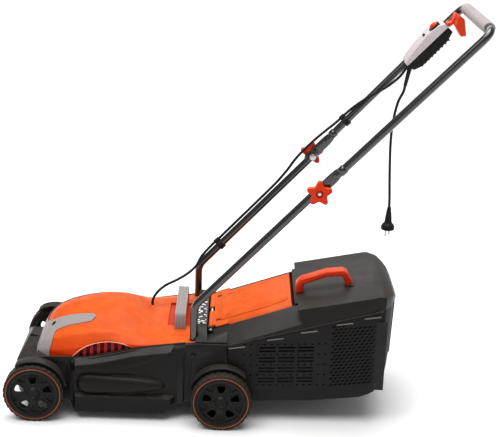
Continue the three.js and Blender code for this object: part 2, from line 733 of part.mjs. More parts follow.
function rearFlap() {
  const panel = block([14, FLAP_LENGTH], [-FLAP_HALF_WIDTH, FLAP_HALF_WIDTH], [0.5, 4.5]);
  const inner = LUG_Y[0] - 1.5;
  const front = block([0, 15], [-inner, inner], [0.5, 4.5]);
  const barrel = bar("y", [0, 0], 6, [-inner, inner], 16);
  const skirts = [-1, 1].map((side) =>
    block([48, FLAP_LENGTH], sideRange(side, [FLAP_HALF_WIDTH - 4, FLAP_HALF_WIDTH]), [-16, 1]));
  const end = block([FLAP_LENGTH - 4, FLAP_LENGTH], [-FLAP_HALF_WIDTH, FLAP_HALF_WIDTH], [-10, 1]);
  const springSlot = block([-8, 9], [-SPRING_HALF, SPRING_HALF], [-8, 8]);
  const bore = bar("y", [0, 0], FLAP_PIN_RADIUS + GAP, [-inner - 1, inner + 1], 12);
  return cut(join(panel, front, barrel, ...skirts, end), springSlot, bore);
}

place(flapGroup, "rear_flap", rearFlap(), orangePlastic);

// ---- Grass box ----
function seamZ(x) {
  const front = REAR_AXLE_X + 30;
  return DECK_TOP_Z + SEAM_SLOPE * Math.min(x - front, 350);
}

function boxPlan(inset) {
  const half = BOX_HALF_WIDTH - inset;
  return planForm(
    bothSides([
      [BOX_FRONT_X - 1, half],
      [BOX_REAR_X - 52, half],
      [BOX_REAR_X - 22 - inset, half - 12],
      [BOX_REAR_X - 6 - inset, half - 36],
      [BOX_REAR_X + 10 - inset, half - 90],
    ]),
    [0, 500],
  );
}

function basketForm(inset) {
  const rear = BOX_REAR_X - inset;
  const bottom = BOX_BOTTOM_Z + inset;
  const open = inset > 0 ? 20 : 0;
  return sideForm(
    [
      [BOX_FRONT_X + inset, bottom + 20],
      [BOX_FRONT_X + 20 + inset, bottom + 2],
      [BOX_FRONT_X + 65, bottom],
      [BOX_FRONT_X + 200, bottom + 4],
      [BOX_FRONT_X + 320, bottom + 17],
      [rear - 40, bottom + 30],
      [rear - 18, bottom + 52],
      [rear - 10, bottom + 90],
      [rear - 3, bottom + 150],
      [rear, bottom + 206],
      [rear, seamZ(BOX_REAR_X) + open],
      [REAR_AXLE_X + 380, seamZ(BOX_REAR_X) + open],
      [BOX_FRONT_X + inset, seamZ(BOX_FRONT_X) + open],
    ],
    [-BOX_HALF_WIDTH + inset, BOX_HALF_WIDTH - inset],
  ).intersect(boxPlan(inset));
}

const MOUTH_HALF_WIDTH = CHUTE_HALF_WIDTH + 12;

function boxBasket() {
  const mouth = block(
    [BOX_FRONT_X - 2, BOX_FRONT_X + 8],
    [-MOUTH_HALF_WIDTH, MOUTH_HALF_WIDTH],
    [WHEEL_RADIUS + 8, seamZ(BOX_FRONT_X) + 9],
  );
  return cut(basketForm(0), basketForm(BOX_WALL), mouth);
}

const FLAP_END_X = FLAP_X + FLAP_LENGTH * Math.cos(FLAP_ANGLE);
const flapUnder = (x, drop) => FLAP_Z + (x - FLAP_X) * Math.tan(FLAP_ANGLE) - drop;

function lidForm(inset) {
  const rear = BOX_REAR_X - inset;
  const under = inset > 0 ? 4 : 0;
  const kink = FLAP_END_X - 2;
  return sideForm(
    [
      [BOX_FRONT_X + inset, seamZ(BOX_FRONT_X) + GAP - under],
      [REAR_AXLE_X + 380, seamZ(BOX_REAR_X) + GAP - under],
      [rear + 8, seamZ(BOX_REAR_X) + GAP - under],
      [rear + 10, seamZ(BOX_REAR_X) + 8 - inset],
      [rear + 2, seamZ(BOX_REAR_X) + 20 - inset],
      [rear - 18, seamZ(BOX_REAR_X) + 31 - inset],
      [rear - 42, seamZ(BOX_REAR_X) + 36 - inset],
      [rear - 76, seamZ(BOX_REAR_X) + 29 - inset],
      [kink, flapUnder(kink, -7 + inset)],
      [BOX_FRONT_X + inset, flapUnder(BOX_FRONT_X, -6 + inset)],
    ],
    [-BOX_HALF_WIDTH + inset, BOX_HALF_WIDTH - inset],
  ).intersect(boxPlan(inset));
}

// The step in the lid that the closed flap lies in.
function flapRecess(inset) {
  const half = FLAP_HALF_WIDTH + 4 + inset;
  const end = FLAP_END_X + 6 + inset;
  const drop = 19 + inset;
  return sideForm(
    [
      [BOX_FRONT_X - 5, flapUnder(BOX_FRONT_X - 5, drop)],
      [end, flapUnder(end, drop)],
      [end, 400],
      [BOX_FRONT_X - 5, 400],
    ],
    [-half, half],
  );
}

const HANDLE_FEET_X = [REAR_AXLE_X + 187, REAR_AXLE_X + 308];

function boxLid() {
  const hollow = cut(lidForm(BOX_WALL), flapRecess(BOX_WALL));
  return cut(lidForm(0), flapRecess(0), hollow);
}

function lidTopZ(x) {
  const kink = FLAP_END_X - 2;
  const [x1, z1] = [kink, flapUnder(kink, -7)];
  const [x2, z2] = [BOX_REAR_X - 76, seamZ(BOX_REAR_X) + 29];
  return z1 + ((x - x1) * (z2 - z1)) / (x2 - x1);
}

function boxHandle() {
  const [front, rear] = HANDLE_FEET_X;
  const foot = (x) => lidTopZ(x) + GAP + 0.2;
  const arch = [
    [front - 14, foot(front - 14)],
    [front + 6, foot(front + 6)],
    [front + 6, foot(front) + 22],
    [front + 62, foot(front + 62) + 32],
    [rear - 22, foot(rear - 22) + 28],
    [rear - 12, foot(rear - 12)],
    [rear + 6, foot(rear + 6)],
    [rear - 10, foot(rear) + 33],
    [rear - 22, foot(rear) + 39],
    [front + 60, foot(front + 60) + 46],
    [front - 2, foot(front) + 36],
    [front - 14, foot(front) + 22],
  ];
  return sideForm(arch, [BOX_HANDLE_Y - BOX_HANDLE_WIDTH / 2, BOX_HANDLE_Y + BOX_HANDLE_WIDTH / 2]);
}

// A thin plate behind the rear wall, for the fingers of the hand that empties the box.
function rearGrip() {
  const x = BOX_REAR_X + 2;
  const top = seamZ(BOX_REAR_X) - GAP;
  return sideForm(
    [[x, top], [x + 8, top], [x + 8, top - 20], [x + 4, top - 150], [x + 2, top - 150], [x + 5.5, top - 14], [x, top - 10]],
    [-56, 56],
  );
}

place(mower, "box_basket", boxBasket(), blackPlastic);
place(mower, "box_lid", boxLid(), lidPlastic);
place(mower, "box_handle", boxHandle(), orangePlastic);
place(mower, "box_rear_grip", rearGrip(), blackPlastic);

// ---- Lower handle ----
const PIVOT_X = HANDLE_FOOT_X + LOWER_LENGTH * Math.cos(HANDLE_ANGLE);
const PIVOT_Z = BEND_Z + LOWER_LENGTH * Math.sin(HANDLE_ANGLE);
const END_OVERRUN = 14; // how far a tube runs past the fold bolt

function lowerHandle(side) {
  const along = [Math.cos(HANDLE_ANGLE), Math.sin(HANDLE_ANGLE)];
  const route = roundedRoute(
    [
      [HANDLE_FOOT_X, side * FOOT_HALF_SPAN, HANDLE_FOOT_Z],
      [HANDLE_FOOT_X, side * FOOT_HALF_SPAN, BEND_Z],
      [PIVOT_X - 60 * along[0], side * PIVOT_HALF_SPAN, PIVOT_Z - 60 * along[1]],
      [PIVOT_X + END_OVERRUN * along[0], side * PIVOT_HALF_SPAN, PIVOT_Z + END_OVERRUN * along[1]],
    ],
    45,
    4,
  );
  const bolt = bar("y", [PIVOT_X, PIVOT_Z], BOLT_RADIUS + GAP, [-300, 300], 12);
  const screw = bar("y", [HANDLE_FOOT_X, SCREW_Z], 3 + GAP, [-300, 300], 12);
  return cut(tubeThrough(route, TUBE_RADIUS, 12), bolt, screw);
}

const FLAT_END_Y = PIVOT_HALF_SPAN + TUBE_RADIUS + 1;

function pivotBolt(side) {
  const span = [PIVOT_HALF_SPAN - TUBE_RADIUS - 2, FLAT_END_Y + FLAT_END_THICKNESS + KNOB_THICKNESS - 1];
  const head = [PIVOT_HALF_SPAN - TUBE_RADIUS - 6, PIVOT_HALF_SPAN - TUBE_RADIUS - GAP];
  return join(
    bar("y", [PIVOT_X, PIVOT_Z], BOLT_RADIUS, sideRange(side, span), 12),
    bar("y", [PIVOT_X, PIVOT_Z], 8, sideRange(side, head), 12),
  );
}

function socketScrew(side) {
  return join(
    bar("y", [HANDLE_FOOT_X, SCREW_Z], 3, sideRange(side, [FOOT_HALF_SPAN - 12, REAR_HALF_WIDTH + 2]), 12),
    bar("y", [HANDLE_FOOT_X, SCREW_Z], 6, sideRange(side, [REAR_HALF_WIDTH + GAP, REAR_HALF_WIDTH + 4]), 12),
  );
}

for (const [name, side] of [["left", -1], ["right", 1]]) {
  place(mower, "lower_handle_" + name, lowerHandle(side), blackPaint);
  place(mower, "pivot_bolt_" + name, pivotBolt(side), steel);
  place(mower, "socket_screw_" + name, socketScrew(side), steel);
}

// ---- Knobs ----
function knob() {
  const lobes = 5;
  const points = [];
  for (let i = 0; i < lobes * 6; i++) {
    const angle = (2 * Math.PI * i) / (lobes * 6);
    const radius = KNOB_RADIUS - 6 + 6 * Math.cos(lobes * angle);
    points.push([radius * Math.sin(angle), radius * Math.cos(angle)]);
  }
  const head = sideForm(points, [3, KNOB_THICKNESS]);
  const neck = bar("y", [0, 0], 12, [GAP, 5], 16);
  return cut(join(head, neck), bar("y", [0, 0], BOLT_RADIUS + GAP, [-1, KNOB_THICKNESS + 1], 12));
}

for (const [name, side] of [["left", -1], ["right", 1]]) {
  const group = new THREE.Group();
  group.position.set(PIVOT_X, side * (FLAT_END_Y + FLAT_END_THICKNESS), PIVOT_Z);
  group.rotation.z = side > 0 ? 0 : Math.PI;
  place(group, "knob_" + name, knob(), orangePlastic);
  mower.add(group);
}

// ---- Upper handle: X runs along the tubes from the fold bolts, Z square to them ----
const upper = new THREE.Group();
upper.position.set(PIVOT_X, 0, PIVOT_Z);
upper.rotation.y = -HANDLE_ANGLE;
mower.add(upper);

const TUBE_START_U = 50;
const UPPER_START_Y = PIVOT_HALF_SPAN + 20;

function upperTubeY(u) {
  const share = (u - TUBE_START_U) / (UPPER_LENGTH - TUBE_START_U);
  return UPPER_START_Y + (CROSSBAR_HALF_SPAN - UPPER_START_Y) * share;
}

function upperHandle() {
  const frame = roundedRoute(
    [
      [TUBE_START_U, -UPPER_START_Y, 0],
      [UPPER_LENGTH, -CROSSBAR_HALF_SPAN, 0],
      [UPPER_LENGTH, CROSSBAR_HALF_SPAN, 0],
      [TUBE_START_U, UPPER_START_Y, 0],
    ],
    32,
    5,
  );
  const ends = [-1, 1].map((side) => {
    const flat = block(
      [-20, TUBE_START_U + 16],
      sideRange(side, [FLAT_END_Y, FLAT_END_Y + FLAT_END_THICKNESS]),
      [-FLAT_END_WIDTH / 2, FLAT_END_WIDTH / 2],
    );
    return cut(flat, bar("y", [0, 0], BOLT_RADIUS + GAP, [-300, 300], 12));
  });
  return join(tubeThrough(frame, TUBE_RADIUS, 12), ...ends);
}

function foamGrip() {
  const half = CROSSBAR_HALF_SPAN - 40;
  const sleeve = bar("y", [UPPER_LENGTH, 0], TUBE_RADIUS + 4.5, [-half, half], 16);
  return cut(sleeve, bar("y", [UPPER_LENGTH, 0], TUBE_RADIUS + GAP, [-half - 1, half + 1], 16));
}

place(upper, "upper_handle", upperHandle(), blackPaint);
place(upper, "foam_grip", foamGrip(), foam);

// ---- Switch box on the right-hand tube ----
const SWITCH_Y = [upperTubeY(SWITCH_U) + TUBE_RADIUS + 5 - SWITCH_WIDTH, upperTubeY(SWITCH_U) + TUBE_RADIUS + 5];
const SWITCH_X = [SWITCH_U - SWITCH_LENGTH / 2, SWITCH_U + SWITCH_LENGTH / 2];
const SPLIT = 2; // height of the joint between the two shells
const SHELL = 3;

const RELIEF_EXIT = [SWITCH_X[0], SWITCH_Y[0] + 13, -8];
const CABLE_EXIT = [SWITCH_X[0], SWITCH_Y[0] + 32, -6];
const RELIEF_LEAN = THREE.MathUtils.degToRad(-100) - HANDLE_ANGLE; // so that it hangs nearly plumb

// The tapered sleeve that the power cord leaves by; a positive clearance gives the hole for it.
function reliefForm(clearance) {
  const profile = [
    [0, -8 - clearance],
    [6.5 + clearance, -8 - clearance],
    [6.5 + clearance, -4],
    [5.6 + clearance, -1],
    [4.4 + clearance, RELIEF_LENGTH],
    [0, RELIEF_LENGTH],
  ].map(([r, h]) => new THREE.Vector2(r, h));
  const geometry = new THREE.LatheGeometry(profile, 12);
  geometry.rotateZ(-Math.PI / 2);
  geometry.rotateY(-RELIEF_LEAN);
  geometry.translate(...RELIEF_EXIT);
  return toSolid(geometry);
}

function clampBore() {
  const run = [SWITCH_X[0] - 20, SWITCH_X[1] + 20];
  const ends = run.map((u) => new THREE.Vector3(u, upperTubeY(u), 0));
  return tubeThrough(ends, TUBE_RADIUS + 2 * GAP, 12);
}

function switchShell(top) {
  const [x0, x1] = SWITCH_X;
  const depth = SWITCH_DEPTH / 2;
  const side = top
    ? [[x0, SPLIT + GAP], [x1, SPLIT + GAP], [x1, 12], [x1 - 14, depth - 2], [x1 - 50, depth + 2], [x0 + 12, 14], [x0, 8]]
    : [[x1, SPLIT], [x0, SPLIT], [x0 + 4, -16], [x0 + 26, -depth - 2], [x1 - 24, -depth], [x1, -depth + 8]];
  const inner = top ? [SPLIT - 1, 11] : [-13, SPLIT + 1];
  const outer = sideForm(side, SWITCH_Y);
  const hollow = block([x0 + 10, x1 - 8], [SWITCH_Y[0] + SHELL, SWITCH_Y[1] - 2 * TUBE_RADIUS - 12], inner);
  return cut(outer, hollow, clampBore());
}

const BUTTON_U = SWITCH_U + 44;
const BUTTON_Y = SWITCH_Y[0] + 22;

function switchBoxTop() {
  return cut(switchShell(true), bar("z", [BUTTON_U, BUTTON_Y], 10.8, [4, 40], 20));
}

const LEVER_U = SWITCH_X[1] + 4;

function switchBoxBottom() {
  const reliefHole = reliefForm(GAP);
  const cableHole = bar("x", [CABLE_EXIT[1], CABLE_EXIT[2]], CABLE_RADIUS + 3 * GAP, [SWITCH_X[0] - 5, SWITCH_X[0] + 14], 12);
  return cut(switchShell(false), reliefHole, cableHole);
}

function switchModule() {
  return block([SWITCH_U - 14, SWITCH_U + 22], [SWITCH_Y[0] + 6, SWITCH_Y[0] + 26], [-12, 0]);
}

function safetyButton() {
  const profile = [[0, 9], [9.9, 9], [9.9, 27], [6, 30], [0, 31]];
  return turnedZ(profile, 20, [BUTTON_U, BUTTON_Y]);
}

function switchLever() {
  const [near, far] = [SWITCH_Y[0] - 34, SWITCH_Y[1] - 26];
  const hub = bar("y", [LEVER_U + 2, 4], 5, [SWITCH_Y[0] + 2, far], 16);
  const paddle = sideForm(
    [[LEVER_U, 0], [LEVER_U + 12, -2], [LEVER_U + 34, 8], [LEVER_U + 32, 12], [LEVER_U + 12, 4], [LEVER_U, 7]],
    [SWITCH_Y[0] + 2, far],
  );
  const wing = sideForm(
    [[LEVER_U + 10, -2], [LEVER_U + 2, -28], [LEVER_U + 12, -36], [LEVER_U + 36, -4], [LEVER_U + 34, 12],
      [LEVER_U + 26, 8]],
    [near, SWITCH_Y[0] + 6],
  );
  return join(hub, paddle, wing);
}

place(upper, "switch_box_top", switchBoxTop(), greyPlastic);
place(upper, "switch_box_bottom", switchBoxBottom(), blackPlastic);
place(upper, "switch_module", switchModule(), blackPlastic);
place(upper, "safety_button", safetyButton(), orangePlastic);
place(upper, "switch_lever", switchLever(), orangePlastic);

// ---- Cables, clips and plug ----
// A point beside the handle: u along the tubes from the fold bolts, n square to them, towards the front.
function besideHandle([u, y, n]) {
  return [
    PIVOT_X + u * Math.cos(HANDLE_ANGLE) - n * Math.sin(HANDLE_ANGLE),
    y,
    PIVOT_Z + u * Math.sin(HANDLE_ANGLE) + n * Math.cos(HANDLE_ANGLE),
  ];
}

const MOTOR_CABLE_UPPER = [
  [CABLE_EXIT[0] + 6, CABLE_EXIT[1], CABLE_EXIT[2]],
  [CABLE_EXIT[0] - 8, CABLE_EXIT[1], CABLE_EXIT[2] - 1],
  [296, 153, -10],
  [262, 150, -7],
  [232, 149, 0],
  [200, 151, 8],
  [168, 156, 13],
  [140, 162, 14.5],
  [UPPER_CLIP_U, upperTubeY(UPPER_CLIP_U), 14.5],
  [98, 161, 16],
  [66, 154, 21],
  [32, 147, 25],
  [GAP / 2, 144, 26],
].map(besideHandle);

const MOTOR_CABLE_LOWER = [
  ...[
    [-GAP / 2, 144, 26],
    [-34, 142, 25],
    [-72, 141, 19],
    [-112, 140, 15.5],
    [-180, 140, 14.5],
    [-260, 138, 14.5],
    [LOWER_CLIP_U, lowerTubeY(LOWER_CLIP_U), 14.5],
    [-352, 135, 15],
  ].map(besideHandle),
  [HANDLE_FOOT_X + 8, 124, 322],
  [HANDLE_FOOT_X - 7, 112, 297],
  [HANDLE_FOOT_X - 26, 97, 283],
  [HANDLE_FOOT_X - 52, 80, 271],
  [MOTOR_X + 87, 62, 261],
  [MOTOR_X + 68, 48, 248],
  [CABLE_ENTRY[0], CABLE_ENTRY[1], 230],
  [CABLE_ENTRY[0], CABLE_ENTRY[1], 206],
];

function lowerTubeY(u) {
  const share = THREE.MathUtils.clamp((u + LOWER_LENGTH) / (LOWER_LENGTH - 60), 0, 1);
  return FOOT_HALF_SPAN + (PIVOT_HALF_SPAN - FOOT_HALF_SPAN) * share;
}

// A clip that snaps round a tube and holds the cable against it.
function cableClip(u, tubeY) {
  const span = [u - CLIP_LENGTH / 2, u + CLIP_LENGTH / 2];
  const y = tubeY(u);
  const cover = join(
    bar("x", [y, 0], TUBE_RADIUS + 3.2, span, 20),
    bar("x", [y, 14.5], CABLE_RADIUS + 2.4, span, 14),
  );
  const ends = [span[0] - 10, span[1] + 10];
  const bore = tubeThrough(ends.map((x) => new THREE.Vector3(x, tubeY(x), 0)), TUBE_RADIUS + 2 * GAP, 12);
  const lead = tubeThrough(ends.map((x) => new THREE.Vector3(x, tubeY(x), 14.5)), CABLE_RADIUS + 3 * GAP, 12);
  const mouth = block([span[0] - 1, span[1] + 1], [y - 3, y + 3], [-TUBE_RADIUS - 6, 0]);
  return cut(cover, bore, lead, mouth);
}

const lower = new THREE.Group(); // lies along the lower tubes, as the upper group does along the upper ones
lower.position.copy(upper.position);
lower.rotation.copy(upper.rotation);
mower.add(lower);

place(upper, "cable_clip_upper", cableClip(UPPER_CLIP_U, upperTubeY), blackPlastic);
place(lower, "cable_clip_lower", cableClip(LOWER_CLIP_U, lowerTubeY), blackPlastic);
place(upper, "cord_relief", reliefForm(0), rubber);
place(mower, "motor_cable_upper", cordThrough(MOTOR_CABLE_UPPER, CABLE_RADIUS, 8, 28), rubber);
place(mower, "motor_cable_lower", cordThrough(MOTOR_CABLE_LOWER, CABLE_RADIUS, 8, 36), rubber);

// A point beyond the tip of the strain relief, on its axis.
function reliefTip(beyond) {
  const [u, y, n] = RELIEF_EXIT;
  const reach = RELIEF_LENGTH + beyond;
  return besideHandle([u + Math.cos(RELIEF_LEAN) * reach, y, n + Math.sin(RELIEF_LEAN) * reach]);
}

// The short power cord hangs from the strain relief to its plug.
const [TIP_X, TIP_Y, TIP_Z] = reliefTip(0);
const PLUG_X = TIP_X - 16;
const PLUG_TOP_Z = TIP_Z - CORD_DROP;
const POWER_CORD = [
  reliefTip(GAP),
  reliefTip(14),
  [TIP_X - 13, TIP_Y, TIP_Z - 38],
  [TIP_X - 20, TIP_Y, TIP_Z - 70],
  [TIP_X - 24, TIP_Y, TIP_Z - 104],
  [TIP_X - 25, TIP_Y, TIP_Z - 148],
  [TIP_X - 23, TIP_Y, TIP_Z - 198],
  [TIP_X - 20, TIP_Y, TIP_Z - 250],
  [PLUG_X - 1, TIP_Y, PLUG_TOP_Z + 24],
  [PLUG_X, TIP_Y, PLUG_TOP_Z + GAP],
];

function plug() {
  const base = PLUG_TOP_Z - 60;
  const body = turnedZ(
    [[0, base], [17, base], [17.5, base + 3], [16.5, base + 13], [10, base + 18], [8.5, base + 34], [5.5, base + 58],
      [4.6, base + 60], [0, base + 60]],
    16,
    [PLUG_X, TIP_Y],
  );
  const pins = [-1, 1].map((side) =>
    bar("z", [PLUG_X + side * 5.5, TIP_Y + side * 7.8], 2.4, [base - 18, base + 2], 10));
  return join(body, ...pins);
}

place(mower, "power_cord", cordThrough(POWER_CORD, CABLE_RADIUS, 8, 26), rubber);
place(mower, "plug", plug(), rubber);

export default mower;
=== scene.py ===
"""Finished surfaces for a corded electric lawn mower with a rear grass box and a folding tube handle.

Shapes are written in millimetres and turned into metres as they are placed. X runs to the rear, Y to the
operator's right hand and Z up, from the ground under the middle of the machine.
"""

import json
import math

import bpy
from bpy.props import FloatProperty, FloatVectorProperty, IntProperty, PointerProperty
from mathutils import Matrix, Vector

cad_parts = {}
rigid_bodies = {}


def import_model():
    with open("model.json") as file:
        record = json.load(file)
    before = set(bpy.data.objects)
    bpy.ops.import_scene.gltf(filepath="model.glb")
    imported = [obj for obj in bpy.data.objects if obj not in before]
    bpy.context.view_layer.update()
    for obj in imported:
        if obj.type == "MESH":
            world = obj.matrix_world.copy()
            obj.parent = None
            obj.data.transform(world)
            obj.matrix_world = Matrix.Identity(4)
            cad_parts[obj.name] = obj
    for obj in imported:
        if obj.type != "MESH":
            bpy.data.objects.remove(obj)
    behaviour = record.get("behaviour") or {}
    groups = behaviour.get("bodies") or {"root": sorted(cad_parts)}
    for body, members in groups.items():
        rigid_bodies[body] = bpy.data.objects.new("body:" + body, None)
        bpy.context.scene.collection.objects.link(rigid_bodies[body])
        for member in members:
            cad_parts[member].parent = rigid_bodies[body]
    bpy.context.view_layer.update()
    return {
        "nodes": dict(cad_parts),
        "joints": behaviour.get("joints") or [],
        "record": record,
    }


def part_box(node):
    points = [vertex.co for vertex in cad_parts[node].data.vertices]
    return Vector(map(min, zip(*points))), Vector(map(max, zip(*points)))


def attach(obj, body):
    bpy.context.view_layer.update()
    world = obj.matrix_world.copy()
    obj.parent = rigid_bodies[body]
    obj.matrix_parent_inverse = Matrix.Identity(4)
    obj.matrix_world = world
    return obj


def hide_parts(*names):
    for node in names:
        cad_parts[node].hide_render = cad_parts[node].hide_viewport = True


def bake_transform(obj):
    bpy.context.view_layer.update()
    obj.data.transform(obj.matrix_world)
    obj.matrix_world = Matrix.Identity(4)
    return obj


bl_info = {
    "name": "Lawn Mower Maker",
    "version": (1, 0, 0),
    "blender": (4, 5, 0),
    "location": "View3D > Sidebar > Mower",
    "description": "Builds the finished surfaces of an electric lawn mower round its packed frame",
    "category": "Object",
}

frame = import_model()

MM = 0.001
JOINTS = {joint["name"]: joint for joint in frame["joints"]}


def joint_at(name):
    """A joint's place, in millimetres."""
    return Vector(JOINTS[name]["pos_m"]) / MM


def cad_box(node):
    """A frame node's lowest and highest corners, in millimetres."""
    low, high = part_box(node)
    return low / MM, high / MM


FRONT_AXLE = joint_at("front_left_roll")
REAR_AXLE = joint_at("rear_left_roll")
MOTOR = joint_at("blade_spin")
PIVOT = joint_at("handle_fold")
FLAP = joint_at("flap_hinge")
HOOD_X = cad_box("hood")[0].x
HANDLE_FOOT_X = sum(corner.x for corner in cad_box("socket_screw_left")) / 2
CROSSBAR = sum(cad_box("foam_grip"), Vector()) / 2
HANDLE_ANGLE = math.atan2(CROSSBAR.z - PIVOT.z, CROSSBAR.x - PIVOT.x)
UPPER_LENGTH = math.hypot(CROSSBAR.x - PIVOT.x, CROSSBAR.z - PIVOT.z)
BODY = "mower"

# ---------------------------------------------------------------- selection and mesh helpers


def pick(*pieces):
    """Selects only these pieces, and makes the first one active."""
    if bpy.context.mode != "OBJECT":
        bpy.ops.object.mode_set(mode="OBJECT")
    for other in bpy.context.view_layer.objects:
        other.select_set(False)
    for piece in pieces:
        piece.select_set(True)
    bpy.context.view_layer.objects.active = pieces[0]


def clear_selection():
    if bpy.context.mode != "OBJECT":
        bpy.ops.object.mode_set(mode="OBJECT")
    for other in bpy.context.view_layer.objects:
        other.select_set(False)


def edit_all(piece):
    """Opens a piece in edit mode with its whole mesh selected."""
    pick(piece)
    bpy.ops.object.mode_set(mode="EDIT")
    bpy.ops.mesh.select_all(action="SELECT")


def close_edit():
    bpy.ops.object.mode_set(mode="OBJECT")


def metres(point):
    return Vector(point) * MM


def set_outline(piece, points):
    for vertex, point in zip(piece.data.vertices, points):
        vertex.co = metres(point)


def in_plane(axis, a, b, along):
    """A point from its two coordinates square to an axis and its place along it."""
    return {"x": (along, a, b), "y": (a, along, b), "z": (a, b, along)}[axis]


def prism(outline, axis, span):
    """A solid from an outline square to an axis, extruded over a span."""
    clear_selection()
    bpy.ops.mesh.primitive_circle_add(vertices=len(outline), radius=1, fill_type="NGON")
    piece = bpy.context.object
    set_outline(piece, [in_plane(axis, a, b, span[0]) for a, b in outline])
    edit_all(piece)
    reach = metres(in_plane(axis, 0, 0, span[1] - span[0]))
    bpy.ops.mesh.extrude_region_move(TRANSFORM_OT_translate={"value": reach})
    bpy.ops.mesh.select_all(action="SELECT")
    bpy.ops.mesh.normals_make_consistent(inside=False)
    close_edit()
    return piece


def block(x, y, z):
    """A cuboid between three pairs of limits."""
    clear_selection()
    middle = metres((sum(x) / 2, sum(y) / 2, sum(z) / 2))
    bpy.ops.mesh.primitive_cube_add(size=1, location=middle)
    piece = bpy.context.object
    piece.scale = metres((x[1] - x[0], y[1] - y[0], z[1] - z[0]))
    bpy.ops.object.transform_apply(location=True, rotation=True, scale=True)
    return piece


def turned(profile, axis, centre, steps=64):
    """A turned solid: its profile is (radius, along) points round a closed section."""
    clear_selection()
    bpy.ops.mesh.primitive_circle_add(vertices=len(profile), radius=1, fill_type="NOTHING")
    piece = bpy.context.object
    cx, cy, cz = centre
    places = {
        "x": lambda r, h: (cx + h, cy, cz + r),
        "y": lambda r, h: (cx, cy + h, cz + r),
        "z": lambda r, h: (cx + r, cy, cz + h),
    }
    set_outline(piece, [places[axis](r, h) for r, h in profile])
    edit_all(piece)
    turn = {"x": (1, 0, 0), "y": (0, 1, 0), "z": (0, 0, 1)}[axis]
    bpy.ops.mesh.spin(steps=steps, angle=2 * math.pi, center=metres(centre), axis=turn)
    bpy.ops.mesh.select_all(action="SELECT")
    bpy.ops.mesh.remove_doubles(threshold=1e-5)
    bpy.ops.mesh.delete_loose()
    bpy.ops.mesh.select_all(action="SELECT")
    bpy.ops.mesh.normals_make_consistent(inside=False)
    close_edit()
    return piece


def sheet(columns, rows, place):
    """A grid of faces whose points are place(u, v), with u and v from 0 to 1."""
    clear_selection()
    bpy.ops.mesh.primitive_grid_add(x_subdivisions=columns, y_subdivisions=rows, size=2)
    piece = bpy.context.object
    for vertex in piece.data.vertices:
        vertex.co = metres(place(vertex.co.x / 2 + 0.5, vertex.co.y / 2 + 0.5))
    return piece


def line_mesh(points, radius, sides=5, caps=True):
    """A round bar along a polyline; radius is one number, or one for each point."""
    data = bpy.data.curves.new("bar", "CURVE")
    data.dimensions = "3D"
    spline = data.splines.new("POLY")
    spline.points.add(len(points) - 1)
    radii = radius if isinstance(radius, (list, tuple)) else [radius] * len(points)
    widest = max(radii)
    for point, place, own in zip(spline.points, points, radii):
        point.co = (*metres(place), 1)
        point.radius = own / widest
    data.bevel_depth = widest * MM
    data.bevel_resolution = sides
    data.use_fill_caps = caps
    piece = bpy.data.objects.new("bar", data)
    bpy.context.scene.collection.objects.link(piece)
    pick(piece)
    bpy.ops.object.convert(target="MESH")
    piece = bpy.context.object
    edit_all(piece)
    bpy.ops.mesh.remove_doubles(threshold=1e-5)
    bpy.ops.mesh.normals_make_consistent(inside=False)
    close_edit()
    return piece


def modified(piece, kind, **settings):
    """Adds one modifier with these settings and applies it."""
    modifier = piece.modifiers.new(kind.lower(), kind)
    for name, value in settings.items():
        setattr(modifier, name, value)
    pick(piece)
    bpy.ops.object.modifier_apply(modifier=modifier.name)
    return piece


def bevelled(piece, width, segments=2, angle=30):
    return modified(
        piece, "BEVEL", width=width * MM, segments=segments, limit_method="ANGLE",
        angle_limit=math.radians(angle), use_clamp_overlap=True,
    )


def cut(piece, *cutters, operation="DIFFERENCE"):
    for cutter in cutters:
        modified(piece, "BOOLEAN", object=cutter, operation=operation, solver="MANIFOLD")
        bpy.data.objects.remove(cutter)
        if not piece.data.polygons:
            raise RuntimeError(f"nothing is left of {piece.name} after its cut")
    return piece


def joined(pieces):
    pick(*pieces)
    if len(pieces) > 1:
        bpy.ops.object.join()
    return bpy.context.object


def moved(piece, matrix):
    """Moves a piece's own mesh; the matrix is in millimetres."""
    scaled = matrix.copy()
    scaled.translation = scaled.translation * MM
    piece.data.transform(scaled)
    if scaled.determinant() < 0:
        piece.data.flip_normals()
    return piece


def copied(piece, matrix):
    twin = bpy.data.objects.new(piece.name, piece.data.copy())
    bpy.context.scene.collection.objects.link(twin)
    return moved(twin, matrix)


def copy_of(node, bevel=0.0, segments=2, angle=30):
    """A merged copy of a frame node's mesh, with its edges rounded."""
    piece = bpy.data.objects.new(node + "_copy", frame["nodes"][node].data.copy())
    bpy.context.scene.collection.objects.link(piece)
    pick(piece)
    bpy.ops.mesh.customdata_custom_splitnormals_clear()
    edit_all(piece)
    bpy.ops.mesh.remove_doubles(threshold=2e-6)
    bpy.ops.mesh.dissolve_limited(angle_limit=math.radians(0.5))
    close_edit()
    if bevel:
        bevelled(piece, bevel, segments, angle)
    return piece


def done(piece, name, body, finish, nodes=(), smooth=32):
    """Names a finished piece, gives it its material, and lets it ride on its body."""
    piece.name = name
    piece.data.name = name
    piece.data.materials.clear()
    piece.data.materials.append(bpy.data.materials[finish])
    pick(piece)
    bpy.ops.object.transform_apply(location=True, rotation=True, scale=True)
    bpy.ops.object.shade_smooth_by_angle(angle=math.radians(smooth))
    if body:
        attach(piece, body)
    if nodes:
        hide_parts(*nodes)
    return piece


